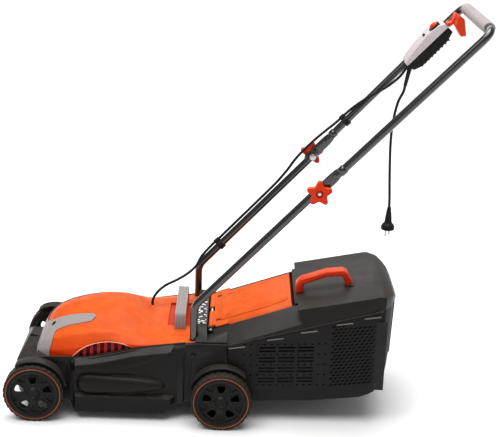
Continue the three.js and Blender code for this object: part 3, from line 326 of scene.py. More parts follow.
def rounded(points, radius, steps=4):
    """A closed outline with an arc at each corner."""
    made = []
    count = len(points)
    for i, corner in enumerate(points):
        here = Vector(corner)
        back = Vector(points[i - 1]) - here
        ahead = Vector(points[(i + 1) % count]) - here
        reach = min(radius, back.length * 0.45, ahead.length * 0.45)
        start = here + back.normalized() * reach
        end = here + ahead.normalized() * reach
        for step in range(steps + 1):
            t = step / steps
            place = start * (1 - t) ** 2 + here * 2 * t * (1 - t) + end * t * t
            made.append(tuple(place))
    return made


def bent(corners, radius, steps=8):
    """An open route with an arc at each inner corner."""
    points = [Vector(corner) for corner in corners]
    route = [points[0]]
    for before, here, after in zip(points, points[1:], points[2:]):
        into = (here - before).normalized()
        out = (after - here).normalized()
        setback = radius * math.tan(into.angle(out) / 2)
        start = here - into * setback
        end = here + out * setback
        for step in range(steps + 1):
            t = step / steps
            route.append(start * (1 - t) ** 2 + here * 2 * t * (1 - t) + end * t * t)
    return route + [points[-1]]


def smooth_step(low, high, value):
    share = min(max((value - low) / (high - low), 0), 1)
    return share * share * (3 - 2 * share)


def through(knots, x):
    """A smooth curve through (x, value, ...) knots, read at x."""
    last = len(knots) - 1
    i = max(0, min(last - 1, sum(1 for knot in knots if knot[0] <= x) - 1))
    t = min(max((x - knots[i][0]) / (knots[i + 1][0] - knots[i][0]), 0), 1)

    def slope(k, n):
        low, high = max(k - 1, 0), min(k + 1, last)
        return (knots[high][n] - knots[low][n]) / (knots[high][0] - knots[low][0])

    width = knots[i + 1][0] - knots[i][0]
    values = []
    for n in range(1, len(knots[0])):
        a, b = knots[i][n], knots[i + 1][n]
        values.append(
            a * (2 * t ** 3 - 3 * t ** 2 + 1) + b * (3 * t ** 2 - 2 * t ** 3)
            + width * (slope(i, n) * (t ** 3 - 2 * t ** 2 + t) + slope(i + 1, n) * (t ** 3 - t ** 2))
        )
    return values if len(values) > 1 else values[0]


def along_handle(u, y, n):
    """A point beside the upper handle: u along its tubes from the fold bolts, n square to them."""
    cos, sin = math.cos(HANDLE_ANGLE), math.sin(HANDLE_ANGLE)
    return Vector((PIVOT.x + u * cos - n * sin, y, PIVOT.z + u * sin + n * cos))


HANDLE_PLACE = Matrix.Translation((PIVOT.x, 0, PIVOT.z)) @ Matrix.Rotation(-HANDLE_ANGLE, 4, "Y")

# ---------------------------------------------------------------- shader groups and materials


def new_group(name, inputs, outputs):
    tree = bpy.data.node_groups.new(name, "ShaderNodeTree")
    for label, kind, default in inputs:
        socket = tree.interface.new_socket(name=label, in_out="INPUT", socket_type=kind)
        socket.default_value = default
    for label, kind in outputs:
        tree.interface.new_socket(name=label, in_out="OUTPUT", socket_type=kind)
    return tree, tree.nodes.new("NodeGroupInput"), tree.nodes.new("NodeGroupOutput")


def add_node(tree, kind, links=(), **settings):
    """Adds a node; links are (its input, another node's output) pairs."""
    node = tree.nodes.new(kind)
    for name, value in settings.items():
        setattr(node, name, value)
    for target, source in links:
        if hasattr(source, "is_output"):
            tree.links.new(source, node.inputs[target])
        else:
            node.inputs[target].default_value = source
    return node


def grain_group():
    """Moulded grain for a bump, and slow drifts of tone and gloss."""
    tree, entry, exit_node = new_group(
        "Moulded grain", [("Size", "NodeSocketFloat", 900.0), ("Drift", "NodeSocketFloat", 9.0)],
        [("Height", "NodeSocketFloat"), ("Tone", "NodeSocketFloat"), ("Scuff", "NodeSocketFloat")],
    )
    place = add_node(tree, "ShaderNodeTexCoord").outputs["Object"]
    fine = add_node(tree, "ShaderNodeTexNoise",
                    [("Vector", place), ("Scale", entry.outputs["Size"]), ("Detail", 3.0),
                     ("Roughness", 0.6)])
    slow = add_node(tree, "ShaderNodeTexNoise",
                    [("Vector", place), ("Scale", entry.outputs["Drift"]), ("Detail", 4.0),
                     ("Roughness", 0.55)])
    streak = add_node(tree, "ShaderNodeTexNoise",
                      [("Vector", place), ("Scale", 46.0), ("Detail", 6.0), ("Roughness", 0.7),
                       ("Distortion", 1.4)])
    scuff = add_node(tree, "ShaderNodeMapRange",
                     [("Value", streak.outputs["Fac"]), ("From Min", 0.56), ("From Max", 0.72)])
    tree.links.new(fine.outputs["Fac"], exit_node.inputs["Height"])
    tree.links.new(slow.outputs["Fac"], exit_node.inputs["Tone"])
    tree.links.new(scuff.outputs["Result"], exit_node.inputs["Scuff"])
    return tree


def edge_group():
    """A mask of the edges that hands and grass rub, broken up by noise."""
    tree, entry, exit_node = new_group(
        "Rubbed edges", [("Amount", "NodeSocketFloat", 0.5)], [("Mask", "NodeSocketFloat")])
    point = add_node(tree, "ShaderNodeNewGeometry").outputs["Pointiness"]
    sharp = add_node(tree, "ShaderNodeMapRange", [("Value", point), ("From Min", 0.53), ("From Max", 0.62)])
    place = add_node(tree, "ShaderNodeTexCoord").outputs["Object"]
    noise = add_node(tree, "ShaderNodeTexNoise", [("Vector", place), ("Scale", 70.0), ("Detail", 5.0)])
    worn = add_node(tree, "ShaderNodeMath", [(0, sharp.outputs["Result"]), (1, noise.outputs["Fac"])],
                    operation="MULTIPLY")
    share = add_node(tree, "ShaderNodeMath", [(0, worn.outputs[0]), (1, entry.outputs["Amount"])],
                     operation="MULTIPLY", use_clamp=True)
    tree.links.new(share.outputs[0], exit_node.inputs["Mask"])
    return tree


def dust_and_top_light_group():
    """A mask of upward faces, broken up by noise: a dusting that settles there, and painted top light on the
    oranges.
    """
    tree, entry, exit_node = new_group(
        "Dust and painted top light", [("Amount", "NodeSocketFloat", 0.2)], [("Mask", "NodeSocketFloat")])
    normal = add_node(tree, "ShaderNodeNewGeometry").outputs["Normal"]
    parts = add_node(tree, "ShaderNodeSeparateXYZ", [(0, normal)])
    up = add_node(tree, "ShaderNodeMapRange", [("Value", parts.outputs["Z"]), ("From Min", 0.2),
                                               ("From Max", 1.0)])
    place = add_node(tree, "ShaderNodeTexCoord").outputs["Object"]
    noise = add_node(tree, "ShaderNodeTexNoise",
                     [("Vector", place), ("Scale", 28.0), ("Detail", 8.0), ("Roughness", 0.7)])
    lies = add_node(tree, "ShaderNodeMath", [(0, up.outputs["Result"]), (1, noise.outputs["Fac"])],
                    operation="MULTIPLY")
    share = add_node(tree, "ShaderNodeMath", [(0, lies.outputs[0]), (1, entry.outputs["Amount"])],
                     operation="MULTIPLY", use_clamp=True)
    tree.links.new(share.outputs[0], exit_node.inputs["Mask"])
    return tree


def use_group(tree, name, **values):
    node = tree.nodes.new("ShaderNodeGroup")
    node.node_tree = bpy.data.node_groups[name]
    for label, value in values.items():
        node.inputs[label].default_value = value
    return node


def mix_colour(tree, share, first, second):
    node = tree.nodes.new("ShaderNodeMix")
    node.data_type = "RGBA"
    for target, source in ((0, share), (6, first), (7, second)):
        if hasattr(source, "is_output"):
            tree.links.new(source, node.inputs[target])
        else:
            node.inputs[target].default_value = source if target == 0 else (*source, 1)
    return node.outputs[2]


DUST = (0.42, 0.38, 0.33)


def finish(name, colour, deep, roughness, grain=900.0, depth=0.04, edge=None, wear=0.5, dust_and_top_light=0.12,
           metallic=0.0, coat=0.0, drift=9.0, specular=0.13, dust_and_top_light_colour=DUST):
    """Moulded, painted or metal surface: tone drift, fine grain, rubbed edges, a dusting; on oranges, painted
    top light.
    """
    material = bpy.data.materials.new(name)
    material.use_nodes = True
    tree = material.node_tree
    shader = tree.nodes["Principled BSDF"]
    grain_node = use_group(tree, "Moulded grain", Size=grain, Drift=drift)
    tone = add_node(tree, "ShaderNodeMapRange",
                    [("Value", grain_node.outputs["Tone"]), ("From Min", 0.3), ("From Max", 0.7)])
    base = mix_colour(tree, tone.outputs["Result"], deep, colour)
    rub = use_group(tree, "Rubbed edges", Amount=wear)
    base = mix_colour(tree, rub.outputs["Mask"], base, edge or [min(1, c * 1.5 + 0.03) for c in colour])
    # Upward faces mix towards a second colour: a dusting on most materials, painted top light on the oranges.
    film = use_group(tree, "Dust and painted top light", Amount=dust_and_top_light)
    base = mix_colour(tree, film.outputs["Mask"], base, dust_and_top_light_colour)
    tree.links.new(base, shader.inputs["Base Color"])
    low, high = roughness
    gloss = add_node(tree, "ShaderNodeMapRange",
                     [("Value", grain_node.outputs["Scuff"]), ("To Min", low), ("To Max", high)])
    tree.links.new(gloss.outputs["Result"], shader.inputs["Roughness"])
    bump = add_node(tree, "ShaderNodeBump",
                    [("Height", grain_node.outputs["Height"]), ("Strength", 0.5), ("Distance", depth * MM)])
    tree.links.new(bump.outputs["Normal"], shader.inputs["Normal"])
    shader.inputs["Metallic"].default_value = metallic
    shader.inputs["Coat Weight"].default_value = coat
    shader.inputs["Coat Roughness"].default_value = 0.12
    shader.inputs["Specular IOR Level"].default_value = specular
    return material


def brushed(name, colour, roughness, turn):
    """A bright metal with fine lines along one axis."""
    material = finish(name, colour, [c * 0.82 for c in colour], roughness, metallic=1.0, wear=0.2, dust_and_top_light=0.05)
    tree = material.node_tree
    place = add_node(tree, "ShaderNodeTexCoord").outputs["Object"]
    stretch = add_node(tree, "ShaderNodeMapping", [("Vector", place), ("Scale", turn)])
    lines = add_node(tree, "ShaderNodeTexNoise",
                     [("Vector", stretch.outputs["Vector"]), ("Scale", 60.0), ("Detail", 4.0)])
    bump = next(node for node in tree.nodes if node.bl_idname == "ShaderNodeBump")
    tree.links.new(lines.outputs["Fac"], bump.inputs["Height"])


def label_film():
    """A generic rating label: pale patches on a dark film, with no words."""
    material = finish("label_print", (0.030, 0.030, 0.030), (0.022, 0.022, 0.022), (0.3, 0.4), depth=0.01)
    tree = material.node_tree
    shader = tree.nodes["Principled BSDF"]
    place = add_node(tree, "ShaderNodeTexCoord").outputs["Object"]
    flat = add_node(tree, "ShaderNodeMapping", [("Vector", place), ("Scale", (1.0, 1.0, 0.0))])
    cells = add_node(tree, "ShaderNodeTexVoronoi", [("Vector", flat.outputs["Vector"]), ("Scale", 150.0)],
                     distance="CHEBYCHEV", feature="F1")
    printed = add_node(tree, "ShaderNodeSeparateColor", [("Color", cells.outputs["Color"])])
    chosen = add_node(tree, "ShaderNodeMath", [(0, printed.outputs["Red"]), (1, 0.5)],
                      operation="GREATER_THAN")
    inside = add_node(tree, "ShaderNodeMath", [(0, cells.outputs["Distance"]), (1, 0.42)],
                      operation="LESS_THAN")
    mark = add_node(tree, "ShaderNodeMath", [(0, chosen.outputs[0]), (1, inside.outputs[0])],
                    operation="MULTIPLY")
    link = shader.inputs["Base Color"].links[0]
    ink = mix_colour(tree, mark.outputs[0], link.from_socket, (0.80, 0.80, 0.78))
    tree.links.new(ink, shader.inputs["Base Color"])


def make_materials(settings):
    for build in (grain_group, edge_group, dust_and_top_light_group):
        build()
    orange = tuple(settings.orange)
    black = tuple(settings.black)
    dark = tuple(c * 0.7 for c in black)
    finish("deck_black", black, dark, (0.36, 0.46), grain=700, depth=0.05, wear=0.5)
    # The hood's upward faces are mixed towards a lighter orange: painted top light.
    finish("hood_orange", orange, tuple(c * f for c, f in zip(orange, (0.93, 0.82, 0.7))), (0.38, 0.46),
           grain=520, depth=0.03, edge=(0.90, 0.30, 0.09), wear=0.3, dust_and_top_light=0.85, specular=0.09,
           dust_and_top_light_colour=(0.84, 0.19, 0.030))
    finish("well_orange", (0.62, 0.045, 0.008), (0.50, 0.03, 0.006), (0.35, 0.45), grain=520, depth=0.03,
           wear=0.2, dust_and_top_light=0.02)
    # The small parts' upward faces are mixed towards a lighter orange: painted top light.
    finish("part_orange", tuple(settings.part_orange), tuple(c * 0.85 for c in settings.part_orange),
           (0.26, 0.36), grain=620, depth=0.03, edge=(0.88, 0.2, 0.08), wear=0.4, dust_and_top_light=0.9, specular=0.14,
           dust_and_top_light_colour=(0.80, 0.11, 0.02))
    finish("rim_orange", (0.86, 0.36, 0.22), (0.78, 0.28, 0.16), (0.35, 0.45), depth=0.02, dust_and_top_light=0.02)
    finish("grille_red", (0.40, 0.008, 0.008), (0.28, 0.005, 0.006), (0.35, 0.5), depth=0.03, dust_and_top_light=0.03)
    finish("grille_shade", (0.045, 0.003, 0.003), (0.03, 0.002, 0.002), (0.4, 0.5), depth=0.03, dust_and_top_light=0.0)
    finish("trim_grey", tuple(settings.grey), tuple(c * 0.86 for c in settings.grey), (0.40, 0.52), grain=800,
           depth=0.05, wear=0.3, dust_and_top_light=0.05)
    finish("switch_grey", (0.60, 0.54, 0.55), (0.52, 0.46, 0.47), (0.42, 0.52), grain=800, depth=0.05,
           wear=0.3, dust_and_top_light=0.05)
    finish("lid_charcoal", (0.014, 0.011, 0.0105), (0.009, 0.0075, 0.0072), (0.38, 0.48), grain=760,
           depth=0.05,
           wear=0.5, dust_and_top_light=0.10)
    # Light grey for the snap tabs on the lid seam, standing in for the highlights there: painted highlight.
    finish("tab_painted_highlight", (0.16, 0.15, 0.14), (0.11, 0.10, 0.095), (0.3, 0.4), depth=0.03, dust_and_top_light=0.05)
    finish("basket_black", (0.010, 0.0095, 0.0095), (0.0065, 0.006, 0.006), (0.45, 0.6), grain=640,
           depth=0.09,
           wear=0.5, dust_and_top_light=0.08)
    finish("plain_black", (0.009, 0.009, 0.009), (0.006, 0.006, 0.006), (0.4, 0.55), grain=900, depth=0.04,
           wear=0.4, dust_and_top_light=0.08)
    finish("hub_black", (0.0085, 0.0075, 0.007), (0.0055, 0.005, 0.0045), (0.32, 0.45), grain=900, depth=0.03,
           wear=0.5, dust_and_top_light=0.06)
    finish("tyre_compound", (0.016, 0.009, 0.0065), (0.009, 0.0055, 0.004), (0.55, 0.75), grain=1200,
           depth=0.12,
           edge=(0.06, 0.045, 0.038), wear=0.8, dust_and_top_light=0.10, drift=22)
    finish("ring_copper", (0.42, 0.105, 0.045), (0.30, 0.07, 0.03), (0.32, 0.45), depth=0.02, wear=0.3,
           dust_and_top_light=0.02)
    finish("tube_black", (0.004, 0.004, 0.0045), (0.0025, 0.0025, 0.003), (0.16, 0.24), grain=260, depth=0.03,
           edge=(0.05, 0.05, 0.05), wear=0.3, dust_and_top_light=0.0, coat=1.0, drift=14, specular=0.5)
    finish("sleeve_foam", (0.42, 0.375, 0.37), (0.36, 0.32, 0.315), (0.85, 0.95), grain=1500, depth=0.5,
           wear=0.1, dust_and_top_light=0.0)
    finish("cord_jacket", (0.012, 0.012, 0.012), (0.008, 0.008, 0.008), (0.4, 0.55), grain=1500, depth=0.05,
           wear=0.2, dust_and_top_light=0.05)
    finish("cast_alloy", (0.50, 0.51, 0.52), (0.40, 0.41, 0.42), (0.42, 0.6), grain=420, depth=0.3,
           metallic=1.0,
           wear=0.3, dust_and_top_light=0.1)
    brushed("zinc_steel", (0.58, 0.59, 0.61), (0.28, 0.42), (1.0, 8.0, 1.0))
    finish("dark_steel", (0.02, 0.02, 0.021), (0.012, 0.012, 0.013), (0.3, 0.45), metallic=0.6, wear=0.3,
           dust_and_top_light=0.02)
    brushed("blade_steel", (0.42, 0.43, 0.45), (0.34, 0.5), (1.0, 9.0, 9.0))
    label_film()


# ---------------------------------------------------------------- sizes and colours a user may change


class MowerSettings(bpy.types.PropertyGroup):
    """Sizes and colours of the finished surfaces."""

    orange: FloatVectorProperty(
        name="Hood orange", description="Colour of the hood and the flap", subtype="COLOR",
        default=(0.58, 0.038, 0.0015), min=0, max=1)
    part_orange: FloatVectorProperty(
        name="Small parts' orange", description="Colour of the knobs, the box handle and the lever",
        subtype="COLOR", default=(0.66, 0.032, 0.004), min=0, max=1)
    black: FloatVectorProperty(
        name="Deck black", description="Colour of the deck and the rear housing", subtype="COLOR",
        default=(0.0085, 0.0074, 0.0070), min=0, max=1)
    grey: FloatVectorProperty(
        name="Trim grey", description="Colour of the trims and the carry handle", subtype="COLOR",
        default=(0.33, 0.29, 0.28), min=0, max=1)
    tube_radius: FloatProperty(
        name="Tube radius", description="Outer radius of the handle tubes", default=0.0095, unit="LENGTH")
    cord_radius: FloatProperty(
        name="Cord radius", description="Radius of the power cord and the motor cable", default=0.0034,
        unit="LENGTH")
    lug_count: IntProperty(
        name="Tread lugs", description="Lugs round each half of a tyre", default=30, min=12, max=60)
    focal_length: FloatProperty(
        name="Focal length", description="The camera's focal length in millimetres", default=82.9)


# ---------------------------------------------------------------- stage, camera and cords


CAMERA_YAW, CAMERA_PITCH, CAMERA_ROLL = (math.radians(angle) for angle in (0.68, 19.06, 2.07))
CAMERA_PLACE = (-0.0023, -2.6626, 1.3904)
SENSOR_WIDTH = 36
FLOOR_SIZE = 60
FLOOR_DROP = 0.0003
AIM = Vector((0, 0, 0.3))
# Name, place, side in metres, power in watts.
AREA_LIGHTS = (
    ("key", (-1.4, -1.5, 3.0), 1.2, 12),
    ("top", (0.2, 0.7, 3.2), 1.6, 34),
    ("back", (0.4, 2.6, 2.0), 2.0, 12),
)


class MOWER_OT_stage(bpy.types.Operator):
    """Sets out the floor, the soft lights and the camera"""

    bl_idname = "mower.stage"
    bl_label = "Stage"

    def execute(self, context):
        settings = context.scene.mower
        scene = context.scene
        scene.view_settings.view_transform = "Standard"
        scene.view_settings.look = "None"
        self.add_camera(scene, settings)
        self.add_floor()
        self.add_lights(scene)
        return {"FINISHED"}

    def add_camera(self, scene, settings):
        yaw, pitch, roll = CAMERA_YAW, CAMERA_PITCH, CAMERA_ROLL
        ahead = Vector((math.sin(yaw) * math.cos(pitch), math.cos(yaw) * math.cos(pitch), -math.sin(pitch)))
        right = Vector((math.cos(yaw), -math.sin(yaw), 0))
        up = right.cross(ahead)
        side = right * math.cos(roll) + up * math.sin(roll)
        top = up * math.cos(roll) - right * math.sin(roll)
        data = bpy.data.cameras.new("camera")
        data.lens = settings.focal_length
        data.sensor_width = SENSOR_WIDTH
        camera = bpy.data.objects.new("camera", data)
        scene.collection.objects.link(camera)
        turn = Matrix((side, top, -ahead)).transposed().to_4x4()
        camera.matrix_world = Matrix.Translation(CAMERA_PLACE) @ turn
        scene.camera = camera

    def add_floor(self):
        clear_selection()
        bpy.ops.mesh.primitive_plane_add(size=FLOOR_SIZE, location=(0, 0, -FLOOR_DROP))
        floor = bpy.context.object
        floor.name = "floor"
        material = bpy.data.materials.new("pale_floor")
        material.use_nodes = True
        tree = material.node_tree
        shader = tree.nodes["Principled BSDF"]
        place = add_node(tree, "ShaderNodeTexCoord").outputs["Object"]
        noise = add_node(tree, "ShaderNodeTexNoise", [("Vector", place), ("Scale", 2.0), ("Detail", 2.0)])
        colour = mix_colour(tree, noise.outputs["Fac"], (0.91, 0.91, 0.91), (0.94, 0.94, 0.94))
        tree.links.new(colour, shader.inputs["Base Color"])
        shader.inputs["Roughness"].default_value = 0.8
        shader.inputs["Specular IOR Level"].default_value = 0.2
        floor.data.materials.append(material)

    def add_lights(self, scene):
        world = bpy.data.worlds.new("studio")
        world.use_nodes = True
        sky = world.node_tree.nodes["Background"]
        sky.inputs["Color"].default_value = (1, 1, 1, 1)
        sky.inputs["Strength"].default_value = 0.34
        scene.world = world
        sun = bpy.data.lights.new("soft_overhead", "SUN")
        sun.energy = 2.5
        sun.angle = math.radians(55)
        lamp = bpy.data.objects.new("soft_overhead", sun)
        lamp.rotation_euler = (math.radians(8), math.radians(-8), 0)
        scene.collection.objects.link(lamp)
        for name, place, size, power in AREA_LIGHTS:
            data = bpy.data.lights.new(name, "AREA")
            data.shape = "SQUARE"
            data.size = size
            data.energy = power
            light = bpy.data.objects.new(name, data)
            scene.collection.objects.link(light)
            light.location = place
            light.rotation_euler = (AIM - Vector(place)).to_track_quat("-Z", "Y").to_euler()


# The strain relief leaves the switch box at this place beside the handle, and leans to hang nearly plumb.
RELIEF_EXIT = (326, 138.3, -8)
RELIEF_LENGTH = 46
RELIEF_TILT = math.radians(-100)


def relief_point(beyond):
    start = along_handle(*RELIEF_EXIT)
    reach = RELIEF_LENGTH + beyond
    return start + Vector((math.cos(RELIEF_TILT), 0, math.sin(RELIEF_TILT))) * reach


def cord_route():
    """The power cord's route, from the tip of its strain relief down to the plug."""
    tip = relief_point(0)
    drops = [(-13, 38), (-20, 70), (-24, 104), (-25, 148), (-23, 198), (-20, 250), (-17, 293), (-16, 316.7)]
    return [relief_point(0.3), relief_point(14)] + [tip + Vector((dx, 0, -drop)) for dx, drop in drops]


def spline_points(points, steps):
    """Catmull-Rom points through a route, spaced by the square root of each stretch."""
    made = []
    extended = [points[0] * 2 - points[1], *points, points[-1] * 2 - points[-2]]
    for a, b, c, d in zip(extended, extended[1:], extended[2:], extended[3:]):
        knots = [0.0]
        for p, q in ((a, b), (b, c), (c, d)):
            knots.append(knots[-1] + math.sqrt((q - p).length))
        k0, k1, k2, k3 = knots
        for step in range(steps):
            t = k1 + (k2 - k1) * step / steps
            ab = a * ((k1 - t) / (k1 - k0)) + b * ((t - k0) / (k1 - k0))
            bc = b * ((k2 - t) / (k2 - k1)) + c * ((t - k1) / (k2 - k1))
            cd = c * ((k3 - t) / (k3 - k2)) + d * ((t - k2) / (k3 - k2))
            abc = ab * ((k2 - t) / (k2 - k0)) + bc * ((t - k0) / (k2 - k0))
            bcd = bc * ((k3 - t) / (k3 - k1)) + cd * ((t - k1) / (k3 - k1))
            made.append(abc * ((k2 - t) / (k2 - k1)) + bcd * ((t - k1) / (k2 - k1)))
    return made + [points[-1]]


class MOWER_OT_cords(bpy.types.Operator):
    """Lays the power cord with its strain relief and plug, the motor cable and its clips"""

    bl_idname = "mower.cords"
    bl_label = "Cords"

    def execute(self, context):
        radius = context.scene.mower.cord_radius / MM
        plug = self.add_plug()
        relief = self.add_relief()
        self.add_power_cord(radius, plug, relief)
        self.add_motor_cable(radius)
        for node, body in (("cable_clip_upper", "upper_handle"), ("cable_clip_lower", BODY)):
            done(copy_of(node, 0.5), node.replace("cable_", "") + "_moulded", body,
                 "plain_black",
                 [node])
        return {"FINISHED"}

    def add_power_cord(self, radius, plug, relief):
        route = cord_route()
        path = spline_points(route, 6)
        cord = line_mesh(path, radius, sides=6)
        done(cord, "power_cord_lead", None, "cord_jacket")
        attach(cord, "upper_handle")
        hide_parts("power_cord")
        metres(route[0])
        [metres(p) for p in path]

    def add_plug(self):
        low, high = cad_box("plug")
        x, y = (low.x + high.x) / 2, (low.y + high.y) / 2
        base = high.z - 60
        body = turned(
            [(0, 0), (16.2, 0), (17.4, 1.6), (17.5, 4), (16.9, 9), (15.6, 12.6), (12.5, 15.5), (10.4, 18),
             (9.2, 22),
             (8.6, 33), (8.4, 34), (7.4, 34.4), (7.4, 36), (8.0, 36.4), (7.9, 39), (6.9, 39.4), (6.9, 41),
             (7.4, 41.4),
             (7.2, 44), (6.3, 44.4), (6.3, 46), (6.7, 46.4), (6.4, 49), (5.7, 49.4), (5.7, 51), (6.0, 51.4),
             (5.2, 57), (4.6, 60), (0, 60)],
            "z", (x, y, base), 40,
        )
        done(body, "plug_moulding", "upper_handle", "plain_black", ["plug"])
        for side in (-1, 1):
            pin = turned(
                [(0, 1), (2.2, 1), (2.2, -9), (2.4, -9.3), (2.4, -16), (1.6, -17.8), (0, -18)],
                "z", (x + side * 5.5, y + side * 7.8, base), 20,
            )
            done(pin, f"plug_pin_{'front' if side < 0 else 'rear'}", "upper_handle", "zinc_steel")
        return body

    def add_relief(self):
        profile = [(0, -8), (6.5, -8), (6.5, -4), (5.9, -2.5), (5.9, 3)]
        for ring in range(6):
            start = 5 + ring * 5.6
            wide = 5.7 - ring * 0.16
            profile += [(wide, start), (wide, start + 3), (wide - 0.7, start + 3.4),
                        (wide - 0.8, start + 5.2)]
        profile += [(4.5, 40), (4.4, RELIEF_LENGTH), (0, RELIEF_LENGTH)]
        relief = turned(profile, "z", (0, 0, 0), 32)
        lean = Matrix.Rotation(math.pi / 2 - RELIEF_TILT, 4, "Y")
        moved(relief, Matrix.Translation(along_handle(*RELIEF_EXIT)) @ lean)
        return done(relief, "strain_relief", "upper_handle", "cord_jacket", ["cord_relief"])

    def add_motor_cable(self, radius):
        entry = (MOTOR.x + 57, 40)
        beside = [
            (332, 157.3, -6), (318, 157.3, -7), (296, 153, -10), (262, 150, -7), (232, 149, 0), (200, 151, 8),
            (168, 156, 13), (140, 162, 14.5), (120, 163.8, 14.5), (98, 161, 16), (66, 154, 21), (32, 147, 25),
            (0, 144, 26), (-34, 142, 25), (-72, 141, 19), (-112, 140, 15.5), (-180, 140, 14.5),
            (-260, 138, 14.5),
            (-332, 136.4, 14.5), (-352, 135, 15),
        ]
        foot = HANDLE_FOOT_X
        world = [
            (foot + 8, 124, 322), (foot - 7, 112, 297), (foot - 26, 97, 283), (foot - 52, 80, 271),
            (MOTOR.x + 87, 62, 261), (MOTOR.x + 68, 48, 248), (*entry, 230), (*entry, 206),
        ]
        route = [along_handle(*point) for point in beside] + [Vector(point) for point in world]
        cable = line_mesh(spline_points(route, 7), radius, sides=5)
        done(cable, "motor_cable", None, "cord_jacket",
             ["motor_cable_upper", "motor_cable_lower"])
        metres(along_handle(-40, 144, 26))
        metres(along_handle(40, 144, 26))
        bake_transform(cable)


# ---------------------------------------------------------------- wheels

WHEEL_WIDTH = 35


class MOWER_OT_wheels(bpy.types.Operator):
    """Makes one wheel with its lugged tyre, ring and spoked hub, and copies it to the four corners"""

    bl_idname = "mower.wheels"
    bl_label = "Wheels"

    def execute(self, context):
        tyre = self.tyre(context.scene.mower.lug_count)
        ring = turned([(64.6, 1.4), (64.6, 0.2), (65.0, -0.2), (65.9, -0.2), (66.3, 0.2), (66.3, 1.4)], "y",
                      (0, 0, 0), 96)
        hub = self.hub()
        for place in ("front_left", "front_right", "rear_left", "rear_right"):
            low, high = cad_box("tyre_" + place)
            axle = joint_at(place + "_roll")
            left = place.endswith("left")
            turn = Matrix.Identity(4) if left else Matrix.Rotation(math.pi, 4, "Z")
            matrix = Matrix.Translation((axle.x, low.y if left else high.y, axle.z)) @ turn
            for part, name, slot, look in (
                (tyre, "tyre_", "tyre_rubber", "tyre_compound"),
                (ring, "wheel_ring_", "wheel_ring", "ring_copper"),
                (hub, "wheel_hub_", "hub_plastic", "hub_black"),
            ):
                copy = copied(part, matrix)
                done(copy, "moulded_" + name + place, "wheel_" + place, look, [name + place])
            if place.startswith("rear"):
                shield = turned([(6, 29), (14, 30), (52, 30), (52, 32), (14, 32), (6, 31)], "y", (0, 0, 0),
                                64)
                done(moved(shield, matrix), "inner_shield_" + place, "wheel_" + place,
                     "hub_black")
        for part in (tyre, ring, hub):
            bpy.data.objects.remove(part)
        return {"FINISHED"}

    def tyre(self, lug_count):
        carcass = turned(
            [(60.3, 1.6), (61.6, 0.5), (64.1, 0.3), (64.3, 1.5), (66.6, 1.5), (66.8, 0.3), (69.0, 0.5),
             (70.6, 1.8),
             (71.2, 5), (71.3, 9), (71.3, 26), (71.2, 30), (70.4, 33.2), (68.6, 34.6), (64, 34.8),
             (60.3, 33.2)],
            "y", (0, 0, 0), 96,
        )
        lug = block((-5.4, 5.4), (1.6, 15.4), (68.6, 72.3))
        bevelled(lug, 1.2, 2)
        moved(lug, Matrix.Translation((0, 8, 0)) @ Matrix.Rotation(math.radians(14), 4, "Z")
              @ Matrix.Translation((0, -8, 0)))
        lugs = []
        mirror = Matrix.Translation((0, WHEEL_WIDTH, 0)) @ Matrix.Scale(-1, 4, (0, 1, 0))
        for i in range(lug_count):
            turn = Matrix.Rotation(2 * math.pi * i / lug_count, 4, "Y")
            half = Matrix.Rotation(2 * math.pi * (i + 0.5) / lug_count, 4, "Y")
            lugs.append(copied(lug, turn))
            lugs.append(copied(lug, half @ mirror))
        bpy.data.objects.remove(lug)
        return joined([carcass, *lugs])

    def hub(self):
        rim = turned(
            [(60.0, 2.4), (59.0, 1.2), (55.4, 1.6), (53.2, 2.6), (52.2, 5.5), (52.2, 31), (54.5, 33),
             (60.0, 33)],
            "y", (0, 0, 0), 96,
        )
        web = prism([(54.5 * math.cos(a), 54.5 * math.sin(a)) for a in
                     (2 * math.pi * i / 72 for i in range(72))], "y", (5.5, 13))
        loops = []
        for spoke in range(5):
            centre = math.radians(90 + 72 * spoke)

            def at(radius, across, centre=centre):
                ahead = Vector((math.cos(centre), math.sin(centre)))
                beside = Vector((-ahead.y, ahead.x))
                return ahead * radius + beside * across

            hole = rounded([at(23, -4.5), at(30, -9), at(43, -12.5), at(47, -6), at(47.5, 6), at(43, 12.5),
                            at(30, 9),
                            at(23, 4.5)], 5)
            cut(web, prism(hole, "y", (0, 20)))
            loop = [Vector((p[0], 5.6, p[1])) for p in hole]
            loops.append(line_mesh(loop + loop[:2], 2.1, sides=3))
            centre = math.radians(54 + 72 * spoke)
            fork = rounded([at(31, 0, centre), at(41, -7.5, centre), at(50.5, -10.5, centre),
                            at(51.5, 0, centre),
                            at(50.5, 10.5, centre), at(41, 7.5, centre)], 3)
            cut(web, prism(fork, "y", (0, 8.8)))
            loop = [Vector((p[0], 5.6, p[1])) for p in fork]
            loops.append(line_mesh(loop + loop[:2], 1.3, sides=3))
        bevelled(web, 0.8, 2)
        boss = turned(
            [(0, 1.8), (9, 1.8), (10, 0.6), (12.2, 0.6), (13.2, 1.8), (16.5, 5.6), (13.4, 11), (13, 33),
             (5.3, 33),
             (5.3, 7), (0, 6)],
            "y", (0, 0, 0), 48,
        )
        return joined([rim, web, boss, *loops])


# ---------------------------------------------------------------- deck


RIM_LINE = [(0, 152), (37, 155), (66, 156), (102, 157), (138, 161), (169, 167), (210, 176), (241, 184),
            (306, 195),
            (380, 205)]
SWOOSH = [(60, 140), (88, 127), (116, 125.5), (164, 129), (200, 133.5), (268, 150), (308, 170), (380, 212)]
BULGE = [(100, 112, 66), (116, 119, 65), (164, 117, 66), (212, 114, 68), (260, 112, 73), (300, 106, 79),
         (330, 96, 84)]


FENDER_LIP_RADIUS = 80.2
FENDER_LIP_WIDTH = 5.2


